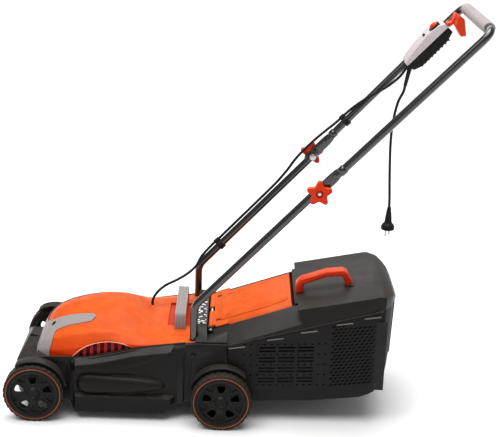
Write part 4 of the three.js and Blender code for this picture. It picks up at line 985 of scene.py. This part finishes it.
def side_relief(x, z):
    """How far the deck's side stands out, x from the hood's front."""
    above = z - through(SWOOSH, x)
    band = 13.0 * smooth_step(-2.0, 2.0, above) * (1 - 0.55 * smooth_step(5, 40, above))
    top, bottom = through(BULGE, x)
    tall = (z - (top + bottom) / 2) / ((top - bottom) / 2)
    wide = (x - 212) / 106
    body = max(0, 1 - abs(wide) ** 8 - abs(tall) ** 2.4)
    bulge = 15.0 * body ** 0.5 if x > 101 else 0
    skirt = 13.0 * smooth_step(65, 61.5, z)
    fade = smooth_step(97, 103, x) * smooth_step(346, 330, x)
    return (band + max(bulge, skirt)) * fade


class MOWER_OT_deck(bpy.types.Operator):
    """Makes the deck: the moulded body, and its sculpted sides"""

    bl_idname = "mower.deck"
    bl_label = "Deck"

    def execute(self, context):
        body = copy_of("deck")
        for vertex in body.data.vertices:
            if 174 < abs(vertex.co.y / MM) < 176:
                vertex.co.y = math.copysign(157 * MM, vertex.co.y)
        for side in (-1, 1):
            shoulder = [(side * 22, 147), (side * 146, 97), (side * 152, 88), (side * 152, 160),
                        (side * 22, 160)]
            cut(body, prism(shoulder, "x", (cad_box("deck")[0].x - 12, HOOD_X + 3)))
            ahead = block((FRONT_AXLE.x - 130, FRONT_AXLE.x - 43),
                          (149.5, 200) if side > 0 else (-200, -149.5),
                          (0, 170))
            crest = [(side * 139, 206), (side * 163, 170), (side * 200, 170), (side * 200, 240),
                     (side * 139, 240)]
            cut(body, prism(crest, "x", (HOOD_X + 232, HANDLE_FOOT_X - 19)))
            cut(body, ahead)
        bevelled(body, 1.1, 2)
        done(body, "deck_moulding", BODY, "deck_black", ["deck"])
        for name, side in (("left", -1), ("right", 1)):
            skin = sheet(150, 84, lambda u, v, side=side: self.side_point(u, v, side))
            if side > 0:
                skin.data.flip_normals()
            modified(skin, "SOLIDIFY", thickness=2.4 * MM, offset=-1.0)
            done(skin, "deck_side_" + name, BODY, "deck_black", smooth=50)
            rim = [(HOOD_X + x, z) for x, z in ((3, 138), (3, 149), (12, 154), (37, 155.5), (66, 156),
                                                (98, 157),
                                                (98, 138))]
            rim = bevelled(prism(rim, "y", (148.5, 152.5) if side > 0 else (-152.5, -148.5)), 1.2)
            done(rim, "deck_rim_" + name, BODY, "deck_black")
        self.add_fender_lips()
        for node in ("socket_screw_left", "socket_screw_right"):
            done(copy_of(node, 0.6), node + "_head", BODY, "dark_steel", [node])
        return {"FINISHED"}

    def side_point(self, u, v, side):
        x = 80 + (366 - 80) * u
        half = 151.5 + 8.5 * smooth_step(82, 98, x)
        low = 22 + 24 * smooth_step(312, 340, x) + 24 * smooth_step(100, 84, x)
        high = through(RIM_LINE, x)
        z = low + (high - low) * v
        out = half + side_relief(x, z)
        out += (151 - out) * smooth_step(high - 16, high, z)
        return (HOOD_X + x, side * out, z)

    def add_fender_lips(self):
        """The rounded lips over the wheels."""
        for name, side in (("left", -1), ("right", 1)):
            for end, axle, out, sweep in (
                ("front", FRONT_AXLE, 179.5, range(14, 122, 6)),
                ("rear", REAR_AXLE, 185.5, range(46, 172, 7)),
            ):
                lip = []
                for degrees in sweep:
                    angle = math.radians(degrees)
                    lip.append((axle.x + FENDER_LIP_RADIUS * math.cos(angle), side * out,
                                axle.z + FENDER_LIP_RADIUS * math.sin(angle)))
                done(line_mesh(lip, FENDER_LIP_WIDTH / 2, sides=4), f"{end}_fender_lip_{name}", BODY,
                     "deck_black")


# ---------------------------------------------------------------- hood, trims, grilles and carry handle

# Half sections of the hood: x from its front, then the (y, z) of its base, lower side, ridge, valley,
# crease and crown.
HOOD_SECTIONS = [
    (0, 90, 118, 89, 130, 84, 144, 66, 150, 30, 153, 0, 154),
    (8, 102, 124, 101, 145, 92, 162, 70, 168, 32, 174, 0, 176),
    (20, 116, 138, 114, 156, 101, 173, 76, 182, 34, 193, 0, 197),
    (40, 130, 146, 128, 162, 113, 184, 86, 194, 38, 211, 0, 216),
    (68, 141, 146, 139, 167, 121, 195, 93, 204, 42, 224, 0, 230),
    (100, 147, 147, 144, 174, 124, 204, 98, 210, 46, 233, 0, 240),
    (134, 148, 155, 146, 181, 125, 212, 99, 214, 50, 240, 0, 247),
    (170, 148, 164, 146, 186, 125, 214, 100, 216, 55, 243, 0, 250),
    (205, 148, 172.4, 147, 191, 126, 210, 101, 213, 60, 240, 0, 247),
    (235, 148, 179.8, 147, 191, 127, 204, 104, 209, 66, 231, 0, 236),
    (262, 148, 183.9, 147, 190, 126, 200, 104, 206, 66, 220, 0, 223),
    (290, 148, 188.1, 147, 193, 124, 202, 104, 207, 64, 211, 0, 211.5),
    (330, 148, 194.1, 147, 198, 122, 204.5, 104, 209, 64, 210.5, 0, 210.5),
    (389, 148, 203, 146, 204.5, 122, 207, 104, 210, 64, 210.5, 0, 210.5),
]
HOOD_LENGTH = 389
RING_ANGLES = [2 * math.pi * i / 32 for i in range(32)]


def softened(points, times):
    """Cuts the corners of an open line again and again, keeping its ends; the first cut is a narrow one."""
    for turn in range(times):
        share = 0.12 if turn == 0 else 0.25
        line = [points[0]]
        for a, b in zip(points, points[1:]):
            line.append(a.lerp(b, share))
            line.append(a.lerp(b, 1 - share))
        line.append(points[-1])
        points = line
    return points


def hood_section(x):
    """The hood's whole cross-section at x from its front, from the left base to the right one."""
    values = through(HOOD_SECTIONS, x)
    half = [Vector((-y, z)) for y, z in zip(values[0::2], values[1::2])]
    other = [Vector((-p.x, p.y)) for p in reversed(half[:-1])]
    return softened(half + other, 3)


def hood_sheet(lift):
    """The hood's surface as a grid, let out by a lift."""
    stations = 96
    sections = []
    for i in range(stations + 1):
        share = i / stations
        sections.append(hood_section(HOOD_LENGTH * (0.35 * share * share + 0.65 * share)))
    columns = len(sections[0]) - 1

    def place(u, v):
        i, k = round(u * stations), round(v * columns)
        share = i / stations
        x = HOOD_LENGTH * (0.35 * share * share + 0.65 * share)
        point = sections[i][k]
        return (HOOD_X + x, point.x, point.y)

    piece = sheet(stations, columns, place)
    if piece.data.polygons[0].normal.z < 0:
        piece.data.flip_normals()
    if lift:
        modified(piece, "DISPLACE", strength=lift * MM, mid_level=0.0)
    return piece


class MOWER_OT_hood(bpy.types.Operator):
    """Makes the hood with its grilles, trims and carry handle"""

    bl_idname = "mower.hood"
    bl_label = "Hood"

    def execute(self, context):
        surface = hood_sheet(0)
        hood = modified(surface, "SOLIDIFY", thickness=3 * MM, offset=-1.0)
        carry = cad_box("carry_handle")
        well_x = (carry[0].x - 18, carry[1].x + 10)
        well_y = (-70, 70)
        well = rounded([(well_x[0], well_y[0]), (well_x[1], well_y[0]), (well_x[1], well_y[1]),
                        (well_x[0], well_y[1])], 5)
        cut(hood, prism(well, "z", (200, 230)))
        for side in (-1, 1):
            cut(hood, prism(self.arch(0), "y", (90, 170) if side > 0 else (-170, -90)))
            notch = [(HANDLE_FOOT_X + 10.7 * math.cos(a),
                      side * 135 + 10.7 * math.sin(a)) for a in RING_ANGLES]
            cut(hood, prism(notch, "z", (170, 290)))
        done(hood, "hood_moulding", BODY, "hood_orange", ["hood"], smooth=40)
        self.add_well(well_x, well_y)
        for name, side in (("left", -1), ("right", 1)):
            self.add_grille(name, side, hood)
            self.add_trim(name, side)
        self.add_carry_handle(carry)
        return {"FINISHED"}

    def arch(self, inset):
        """The side air intake's outline, set in by an inset; its foot stands below the hood's edge."""
        top = [(92, 152), (97, 158), (113, 173), (137, 187), (161, 194), (185, 196.5), (209, 193.5),
               (230, 187),
               (241, 181)]
        middle = 166
        fine = spline_points([Vector((x - inset * (x - middle) / 76, z - inset, 0)) for x, z in top], 3)
        return [(HOOD_X + 240 - inset, 145), (HOOD_X + 92 + inset, 130)] + [(HOOD_X + p.x, p.y) for p in fine]

    def add_well(self, x, y):
        tray = block((x[0] - 1, x[1] + 1), (y[0] - 1, y[1] + 1), (203.4, 209.4))
        top = max(face.center.z for face in tray.data.polygons)
        edit_all(tray)
        bpy.ops.mesh.select_all(action="DESELECT")
        bpy.ops.object.mode_set(mode="OBJECT")
        for face in tray.data.polygons:
            face.select = abs(face.center.z - top) < 1e-5
        bpy.ops.object.mode_set(mode="EDIT")
        bpy.ops.mesh.select_mode(type="FACE")
        bpy.ops.mesh.delete(type="FACE")
        close_edit()
        modified(tray, "SOLIDIFY", thickness=2 * MM, offset=-1.0)
        bevelled(tray, 0.6)
        done(tray, "hood_finger_well", BODY, "well_orange")

    def add_grille(self, name, side, hood):
        node = "grille_" + name
        backing = hood_sheet(-8)
        modified(backing, "SOLIDIFY", thickness=1.6 * MM, offset=-1.0)
        cut(backing, prism(self.arch(-4), "y", (96, 170) if side > 0 else (-170, -96)), operation="INTERSECT")
        done(backing, node + "_backing", BODY, "grille_shade", [node])
        rim, slats = [], []
        outline = self.arch(0.4)
        for x, z in outline + outline[:1]:
            start = metres((x, side * 190, z))
            found, place, _, _ = hood.ray_cast(start, Vector((0, -side, 0)))
            hit = place.y / MM if found and abs(place.y) > 0.1 else side * 146.0
            rim.append((x, hit, z))
        rim = [(x, side * max(abs(y), 126), z) for x, y, z in rim[2:-1]]
        done(line_mesh(rim, 1.2, sides=3), node + "_rim", BODY, "rim_orange")
        for i in range(8):
            x = HOOD_X + 106 + i * 17
            reach = max(z for ax, z in outline[2:] if abs(ax - x) < 8)
            foot = 142 + 0.25 * i * 17
            middle = (foot + reach) / 2
            slat = prism([(-132, foot), (-144.5, foot), (-143, middle), (-138, reach - 1), (-128, reach - 1)],
                         "x", (x - 4.2, x + 4.2))
            if side > 0:
                moved(slat, Matrix.Scale(-1, 4, (0, 1, 0)))
            slats.append(bevelled(slat, 1.4, 2))
        done(joined(slats), node + "_slats", BODY, "grille_red")

    def add_trim(self, name, side):
        """The grey ribbon across the hood's front, with a finger that points back along the shoulder."""
        skin = hood_sheet(0.4)
        modified(skin, "SOLIDIFY", thickness=2.0 * MM, offset=1.0)
        outline = [
            (-14, -2), (13, -2), (17, 30), (26, 44), (42, 51), (59, 54), (79, 57), (114, 62), (137, 67),
            (143, 74),
            (133, 86), (106, 88.5), (83, 88.5), (64, 90), (50, 92), (45, 97), (41, 120), (36, 127), (34, 150),
            (-14, 150),
        ]
        blade = prism([(HOOD_X + x, side * y) for x, y in outline], "z", (100, 300))
        cut(skin, blade, operation="INTERSECT")
        bevelled(skin, 0.5, 2, 40)
        cut(skin, self.finger_recess(side))
        pad = hood_sheet(0.2)
        modified(pad, "SOLIDIFY", thickness=0.6 * MM, offset=1.0)
        cut(pad, self.finger_recess(side), operation="INTERSECT")
        done(pad, "trim_recess_" + name, BODY, "plain_black")
        done(skin, "trim_" + name, BODY, "trim_grey", ["hood_trim_" + name])

    def finger_recess(self, side):
        """The small rounded recess near the trim's front, as a cutter."""
        near, far = HOOD_X + 33, HOOD_X + 42
        outline = [(near, side * 57), (far, side * 57), (far, side * 69), (near, side * 69)]
        return prism(rounded(outline, 2), "z", (190, 215))

    def add_carry_handle(self, box):
        low, high = box
        foot, top = low.z - 9, high.z
        half = high.y
        ribs = []
        count = 4
        pitch = (high.x - low.x) / count
        for i in range(count * 2 - 1):
            groove = i % 2
            inset = 1.3 if groove else 0
            middle = low.x + pitch * (i / 2 + 0.5)
            width = 2.6 if groove else pitch - 1.8
            arch = self.arch_outline(half - inset, foot, top - inset, 10 - 2 * inset)
            rib = prism(arch, "x", (middle - width / 2, middle + width / 2))
            ribs.append(bevelled(rib, 0.8, 2) if not groove else rib)
        done(joined(ribs), "carry_grip", BODY, "trim_grey", ["carry_handle"])

    def arch_outline(self, half, foot, top, thickness):
        """An arch over the finger well, with rounded shoulders."""
        inner = half - thickness
        outside = bent([(half, foot, 0), (half, top, 0), (-half, top, 0), (-half, foot, 0)], 14, 6)
        inside = bent([(-inner, foot, 0), (-inner, top - thickness, 0), (inner, top - thickness, 0),
                       (inner, foot, 0)], 8, 5)
        return [(p.x, p.y) for p in outside] + [(p.x, p.y) for p in inside]


# ---------------------------------------------------------------- rear housing and flap


FLAP_TILT = math.radians(19.25)
FLAP_PLACE = Matrix.Translation((FLAP.x, 0, FLAP.z)) @ Matrix.Rotation(-FLAP_TILT, 4, "Y")


class MOWER_OT_rear(bpy.types.Operator):
    """Makes the rear housing, its label, and the hinged flap over the grass outlet"""

    bl_idname = "mower.rear"
    bl_label = "Rear housing and flap"

    def execute(self, context):
        done(copy_of("rear_housing", 2.0, 3), "housing_moulding", BODY, "deck_black",
             ["rear_housing"])
        done(copy_of("label_plate", 0.25), "label_sheet", BODY, "label_print", ["label_plate"])
        done(copy_of("flap_pin", 0.4), "hinge_pin", BODY, "zinc_steel", ["flap_pin"])
        frame["nodes"]["flap_spring"].material_slots[0].material = bpy.data.materials["zinc_steel"]
        self.add_flap()
        return {"FINISHED"}

    def add_flap(self):
        length, half = 206, 112
        section = [(-half, -15), (-half + 1.5, -9), (-half + 9, -1), (-half + 17, 3.6), (-half + 24, 4.6)]
        under = [(y + 3.2 if y < -half + 12 else y + 1.4, z - (0 if y < -half + 3 else 3.0)) for y,
                 z in section]
        outer = section + [(-y, z) for y, z in reversed(section)]
        inner = [(-y, z) for y, z in under] + list(reversed(under))
        shell = prism(outer + inner, "x", (46, length))
        bevelled(shell, 0.9, 2)
        lip = prism(rounded([(-half + 3, -10), (half - 3, -10), (half - 18, 3.4), (-half + 18, 3.4)], 3), "x",
                    (length - 3.4, length - 0.4))
        front = block((13, 47), (-half + 1, half - 1), (0.6, 4.6))
        notch = [prism(rounded([(9, side * 78), (30, side * 78), (30, side * 70), (9, side * 70)], 2), "z",
                       (-5, 9))
                 for side in (-1, 1)]
        mark = [block((40, 52), (side * 66 - 2, side * 66 + 2), (4.0, 9)) for side in (-1, 1)]
        cut(front, *notch)
        bevelled(front, 1.0, 2)
        neck = block((2, 14.5), (-100, 100), (0.6, 4.6))
        cut(neck, block((-5, 9), (-14, 14), (-9, 9)))
        bevelled(neck, 0.8, 2)
        barrel = turned([(2.9, -100), (6, -100), (6, 100), (2.9, 100)], "y", (0, 0, 0), 28)
        cut(barrel, block((-8, 9), (-14, 14), (-8, 8)))
        panel = prism(rounded([(26, -84), (150, -84), (length - 8, -74), (length - 8, 74), (150, 84),
                               (26, 84)], 6),
                      "z", (4.2, 6.2))
        cut(panel, *mark)
        bevelled(panel, 1.3, 3)
        flap = joined([shell, lip, front, neck, barrel, panel])
        moved(flap, FLAP_PLACE)
        done(flap, "flap_moulding", "rear_flap", "hood_orange", ["rear_flap"])


# ---------------------------------------------------------------- grass box


class MOWER_OT_grass_box(bpy.types.Operator):
    """Makes the grass box: slotted basket, lid, handle and rear grip"""

    bl_idname = "mower.grass_box"
    bl_label = "Grass box"

    def execute(self, context):
        basket = copy_of("box_basket", 3.0, 3, 25)
        cut(basket, self.holes())
        done(basket, "basket_moulding", "grass_box", "basket_black", ["box_basket"],
             smooth=28)
        lid = copy_of("box_lid")
        over = block((-12, 214), (-170, 170), (-0.5, 60))
        moved(over, FLAP_PLACE)
        cut(lid, over)
        shoulders = []
        for side in (-1, 1):
            corner = [(side * 112, -1), (side * 160, -36), (side * 175, -36), (side * 175, 60),
                      (side * 112, 60)]
            wedge = moved(prism(corner, "x", (6, 222)), FLAP_PLACE)
            cut(lid, wedge)
            panel = [(side * 110, -0.8), (side * 113, -0.6), (side * 156.4, -32.5), (side * 156.4, -40),
                     (side * 153.5, -40), (side * 153, -34), (side * 110, -3.4)]
            shoulders.append(moved(bevelled(prism(panel, "x", (5, 223)), 0.6), FLAP_PLACE))
        bevelled(lid, 3.0, 3, 25)
        done(joined(shoulders), "lid_shoulders", "grass_box", "lid_charcoal")
        done(lid, "lid_moulding", "grass_box", "lid_charcoal", ["box_lid"], smooth=28)
        done(copy_of("box_handle", 3.5, 3, 25), "box_grip", "grass_box", "part_orange",
             ["box_handle"])
        done(copy_of("box_rear_grip", 0.8, 2), "rear_finger_plate", "grass_box",
             "plain_black",
             ["box_rear_grip"])
        # A thin black pad under the box handle's rear foot, standing in for the shade of a recess there:
        # painted shade.
        grip = cad_box("box_handle")
        pad = prism(rounded([(grip[1].x - 14, grip[0].y - 6), (grip[1].x + 14, grip[0].y - 6),
                             (grip[1].x + 14, grip[1].y + 6), (grip[1].x - 14, grip[1].y + 6)], 4), "z",
                             (-0.6, 1.2))
        tilt = Matrix.Translation((grip[1].x, 0, self.lid_height(lid, grip[1].x, grip[0].y)))
        moved(pad, tilt @ Matrix.Translation((-grip[1].x, 0, 0)))
        done(bevelled(pad, 0.5), "handle_foot_shade_pad", "grass_box", "plain_black")
        self.add_seam()
        return {"FINISHED"}

    def lid_height(self, lid, x, y):
        """Height of the lid's top at a place, in millimetres."""
        found, place, _, _ = lid.ray_cast(metres((x, y - 4, 600)), Vector((0, 0, -1)))
        if not found:
            raise RuntimeError("the lid has no top under the handle's foot")
        return place.z / MM

    def holes(self):
        """Cutters for the rows of slots and for the slanted mesh, through both side walls at once."""
        low, high = cad_box("box_basket")
        rise = math.tan(math.radians(2.6))
        cutters = []

        def through_walls(outline):
            for side in (-1, 1):
                cutters.append(prism(outline, "y", (144, 165) if side > 0 else (-165, -144)))

        start = low.x + 40
        for row in range(5):
            z = 96 + row * 27
            for dot in range(13):
                x = start + dot * 16.2
                lift = z + (x - start) * rise
                through_walls([(x - 2.6, lift - 1.7), (x + 2.6, lift - 1.7), (x + 2.6, lift + 1.7),
                               (x - 2.6, lift + 1.7)])
            if row == 4:
                continue
            for line in (9.0, 18.0):
                for slot in range(3):
                    x = start + 36 + slot * 46
                    lift = z + line + (x - start) * rise
                    through_walls([(x, lift - 2.2), (x + 39, lift - 0.4), (x + 39, lift + 4.0),
                                   (x, lift + 2.2)])
        mesh_start = low.x + 252
        for column in range(10):
            for row in range(19):
                x = mesh_start + column * 11.4 + (5.7 if row % 2 else 0)
                z = 104 + row * 8.6 + (x - mesh_start) * 0.12
                if x > high.x - 14 or z > 262:
                    continue
                through_walls([(x - 5.6, z - 2.2), (x - 0.4, z - 3.4), (x + 5.6, z + 2.2),
                               (x + 0.4, z + 3.4)])
        return joined(cutters)

    def add_seam(self):
        """The lip under the lid on each side, with its row of snap tabs coloured light grey as painted
        highlights.
        """
        lid = cad_box("box_lid")[0]
        half = -lid.y
        tabs, strips = [], []
        for side in (-1, 1):
            points = [(lid.x + 4, side * (half + 0.6), lid.z + 3.5), (lid.x + 368, side * (half + 0.6), 302)]
            strips.append(line_mesh(points, 1.7, sides=3))
            for share in (0.05, 0.30, 0.52, 0.75, 0.93):
                x = lid.x + 4 + 364 * share
                z = lid.z + 3.5 + (302 - lid.z - 3.5) * share - 11
                tab = block((-20, 20), (half - 1.0, half + 1.6) if side > 0 else (-half - 1.6, -half + 1.0),
                            (-1.6, 1.6))
                bevelled(tab, 0.7, 2)
                tabs.append(moved(tab, Matrix.Translation((x, 0, z)) @ Matrix.Rotation(-0.16, 4, "Y")))
        basket = cad_box("box_basket")
        nets = [block((basket[0].x + 240, basket[1].x - 16),
                      (150.6, 151.4) if side > 0 else (-151.4, -150.6), (92, 272))
                for side in (-1, 1)]
        done(joined(nets), "inner_net", "grass_box", "basket_black")
        done(joined(strips), "lid_lip", "grass_box", "lid_charcoal")
        # The tabs' light grey is a painted highlight along the seam.
        done(joined(tabs), "snap_tabs", "grass_box", "tab_painted_highlight")


# ---------------------------------------------------------------- handles


KNOB_LOBES = 5
KNOB_STEPS = 120


class MOWER_OT_handles(bpy.types.Operator):
    """Makes the lower and upper handles, the foam grip, the fold bolts and the star knobs"""

    bl_idname = "mower.handles"
    bl_label = "Handles"

    def execute(self, context):
        radius = context.scene.mower.tube_radius / MM
        cos, sin = math.cos(HANDLE_ANGLE), math.sin(HANDLE_ANGLE)
        bend_z = PIVOT.z - math.tan(HANDLE_ANGLE) * (PIVOT.x - HANDLE_FOOT_X)
        for name, side in (("left", -1), ("right", 1)):
            foot = cad_box("lower_handle_" + name)[0].z
            route = bent(
                [(HANDLE_FOOT_X, side * 135, foot), (HANDLE_FOOT_X, side * 135, bend_z),
                 (PIVOT.x - 60 * cos, side * 141, PIVOT.z - 60 * sin),
                 (PIVOT.x + 14 * cos, side * 141, PIVOT.z + 14 * sin)],
                45, 10,
            )
            tube = line_mesh(route, radius, sides=10)
            done(tube, "lower_tube_" + name, BODY, "tube_black", ["lower_handle_" + name],
                 smooth=50)
            self.add_bolt(name)
            self.add_knob(name, side)
        self.add_upper(radius)
        return {"FINISHED"}

    def upper_y(self, u):
        return 161 + 19 * (u - 50) / (UPPER_LENGTH - 50)

    def add_upper(self, radius):
        length = UPPER_LENGTH
        frame_line = bent(
            [(56, -self.upper_y(56), 0), (length, -180, 0), (length, 180, 0), (56, self.upper_y(56), 0)],
            32, 10)
        parts = [line_mesh(frame_line, radius, sides=10)]
        for side in (-1, 1):
            flat = rounded(
                [(-20, -12.5), (52, -12.5), (72, -9.5), (72, 9.5), (52, 12.5), (-20, 12.5)], 10, 5)
            span = (151.5, 158.5) if side > 0 else (-158.5, -151.5)
            plate = prism(flat, "y", span)
            bevelled(plate, 2.2, 3)
            cut(plate, turned([(0, -20), (4.4, -20), (4.4, 20), (0, 20)], "y", (0, side * 155, 0), 24))
            neck = line_mesh([(46, side * 155.2, 0), (58, side * 158, 0), (76, side * self.upper_y(76), 0)],
                             [6.0, 8.6, 9.4], sides=8)
            collar = line_mesh([(66, side * self.upper_y(66), 0), (68, side * self.upper_y(68), 0),
                                (80, side * self.upper_y(80), 0), (82, side * self.upper_y(82), 0)],
                               [9.6, 11.4, 11.4, 9.6], sides=8)
            parts += [plate, neck, collar]
        upper = moved(joined(parts), HANDLE_PLACE)
        done(upper, "upper_frame", "upper_handle", "tube_black", ["upper_handle"], smooth=50)
        half = cad_box("foam_grip")[1].y
        sleeve = turned(
            [(radius + 0.2, -half), (radius + 3.4, -half), (radius + 4.4, -half + 1.2),
             (radius + 4.4, half - 1.2),
             (radius + 3.4, half), (radius + 0.2, half)],
            "y", (CROSSBAR.x, 0, CROSSBAR.z), 48,
        )
        done(sleeve, "foam_sleeve", "upper_handle", "sleeve_foam", ["foam_grip"])

    def add_bolt(self, name):
        node = "pivot_bolt_" + name
        done(copy_of(node, 0.5), node + "_turned", BODY, "zinc_steel", [node])

    def add_knob(self, name, side):
        low, high = cad_box("knob_" + name)
        inner = high.y if side < 0 else low.y
        points = []
        for i in range(KNOB_STEPS):
            angle = 2 * math.pi * i / KNOB_STEPS
            wave = math.cos(KNOB_LOBES * angle)
            radius = 24.2 + 5.8 * wave + 0.9 * (wave * wave - 0.5)
            points.append((min(radius, 30) * math.sin(angle), min(radius, 30) * math.cos(angle)))
        head = prism(points, "y", (3.2, 18) if side > 0 else (-18, -3.2))
        bevelled(head, 2.6, 4, 50)
        depth = (12, 30) if side > 0 else (-30, -12)
        cut(head, turned([(0, depth[0]), (8.2, depth[0]), (9.4, depth[1]), (0, depth[1])], "y", (0, 0, 0),
                         40))
        ring = turned(
            [(4.6, side * 10), (6.6, side * 10), (6.6, side * 15.4), (6.1, side * 16), (5.1, side * 16),
             (4.6, side * 15.4)],
            "y", (0, 0, 0), 32,
        )
        neck = turned([(4.4, side * 0.4), (12, side * 0.4), (13, side * 2.2), (13, side * 5),
                       (4.4, side * 5)], "y",
                      (0, 0, 0), 40)
        knob = joined([head, ring, neck])
        moved(knob, Matrix.Translation((PIVOT.x, inner - side * 0.3, PIVOT.z)))
        done(knob, "star_knob_" + name, "knob_" + name, "part_orange", ["knob_" + name])


# ---------------------------------------------------------------- switch box


class MOWER_OT_switch(bpy.types.Operator):
    """Makes the switch box with its safety button and two-winged lever"""

    bl_idname = "mower.switch"
    bl_label = "Switch box"

    def execute(self, context):
        cover = copy_of("switch_box_top", 3.0, 3, 25)
        well = turned([(0, 17.2), (11.8, 17.2), (11.8, 40), (0, 40)], "z", (437, 147.3, 0), 40)
        cut(cover, moved(well, HANDLE_PLACE))
        done(cover, "switch_cover", "upper_handle", "switch_grey", ["switch_box_top"])
        done(copy_of("switch_box_bottom", 2.4, 3, 25), "switch_base", "upper_handle",
             "plain_black", ["switch_box_bottom"])
        ribs = []
        for i in range(9):
            u = 352 + i * 11
            rib = block((u - 2.2, u + 2.2), (124.6, 190), (-25, -4))
            ribs.append(bevelled(rib, 1.4, 2))
        ribs = moved(joined(ribs), HANDLE_PLACE)
        done(ribs, "switch_base_ribs", "upper_handle", "plain_black")
        button = turned([(0, 9), (9.9, 9), (9.9, 23.6), (11.4, 24), (11.3, 26), (10, 28.6), (7.4, 30.6),
                         (4, 31.8),
                         (0, 32.2)], "z",
                        (437, 147.3, 0), 40)
        done(moved(button, HANDLE_PLACE), "button_dome", "safety_button", "part_orange",
             ["safety_button"])
        socket = turned([(11.9, 14), (14, 14), (14.6, 24.6), (14, 25.8), (12.6, 25.8), (11.9, 24.6)], "z",
                        (437, 147.3, 0), 40)
        nub = turned([(0, 18), (3.4, 18), (3.4, 27), (2.6, 28.4), (0, 28.8)], "z", (405, 147.3, 0), 20)
        done(moved(joined([socket, nub]), HANDLE_PLACE), "button_socket", "upper_handle",
             "plain_black")
        done(copy_of("switch_lever", 1.2, 2), "lever_moulding", "switch_lever",
             "part_orange",
             ["switch_lever"])
        return {"FINISHED"}


# ---------------------------------------------------------------- motor, blade and other frame nodes

FRAME_FINISHES = {
    "cast_alloy": ("motor_base", "motor_cap"),
    "zinc_steel": ("front_axle", "rear_axle", "motor_shaft", "blade_bolt", "motor_stator"),
    "blade_steel": ("blade",),
    "plain_black": ("blade_holder", "switch_module"),
    "trim_grey": ("capacitor",),
}


class MOWER_OT_inner(bpy.types.Operator):
    """Rounds and finishes the motor, the blade and the axles"""

    bl_idname = "mower.inner"
    bl_label = "Motor and blade"

    def execute(self, context):
        groups = frame["record"]["behaviour"]["bodies"]
        for look, nodes in FRAME_FINISHES.items():
            for node in nodes:
                body = next(name for name, members in groups.items() if node in members)
                done(copy_of(node, 0.6, 2), node + "_finished", body, look, [node])
        return {"FINISHED"}


class MOWER_PT_panel(bpy.types.Panel):
    """Sidebar panel that lists the steps"""

    bl_idname = "MOWER_PT_panel"
    bl_label = "Lawn mower"
    bl_space_type = "VIEW_3D"
    bl_region_type = "UI"
    bl_category = "Mower"

    def draw(self, context):
        settings = context.scene.mower
        for name in MowerSettings.__annotations__:
            self.layout.prop(settings, name)
        for step in STEPS:
            self.layout.operator(step.bl_idname)


STEPS = (
    MOWER_OT_stage, MOWER_OT_cords, MOWER_OT_wheels, MOWER_OT_deck, MOWER_OT_hood, MOWER_OT_rear,
    MOWER_OT_grass_box, MOWER_OT_handles, MOWER_OT_switch, MOWER_OT_inner,
)
CLASSES = (MowerSettings, *STEPS, MOWER_PT_panel)


def register():
    for cls in CLASSES:
        bpy.utils.register_class(cls)
    bpy.types.Scene.mower = PointerProperty(type=MowerSettings)


def unregister():
    del bpy.types.Scene.mower
    for cls in reversed(CLASSES):
        bpy.utils.unregister_class(cls)


def main():
    register()
    make_materials(bpy.context.scene.mower)
    for step in STEPS:
        group, name = step.bl_idname.split(".")
        getattr(getattr(bpy.ops, group), name)()


if __name__ == "__main__":
    main()
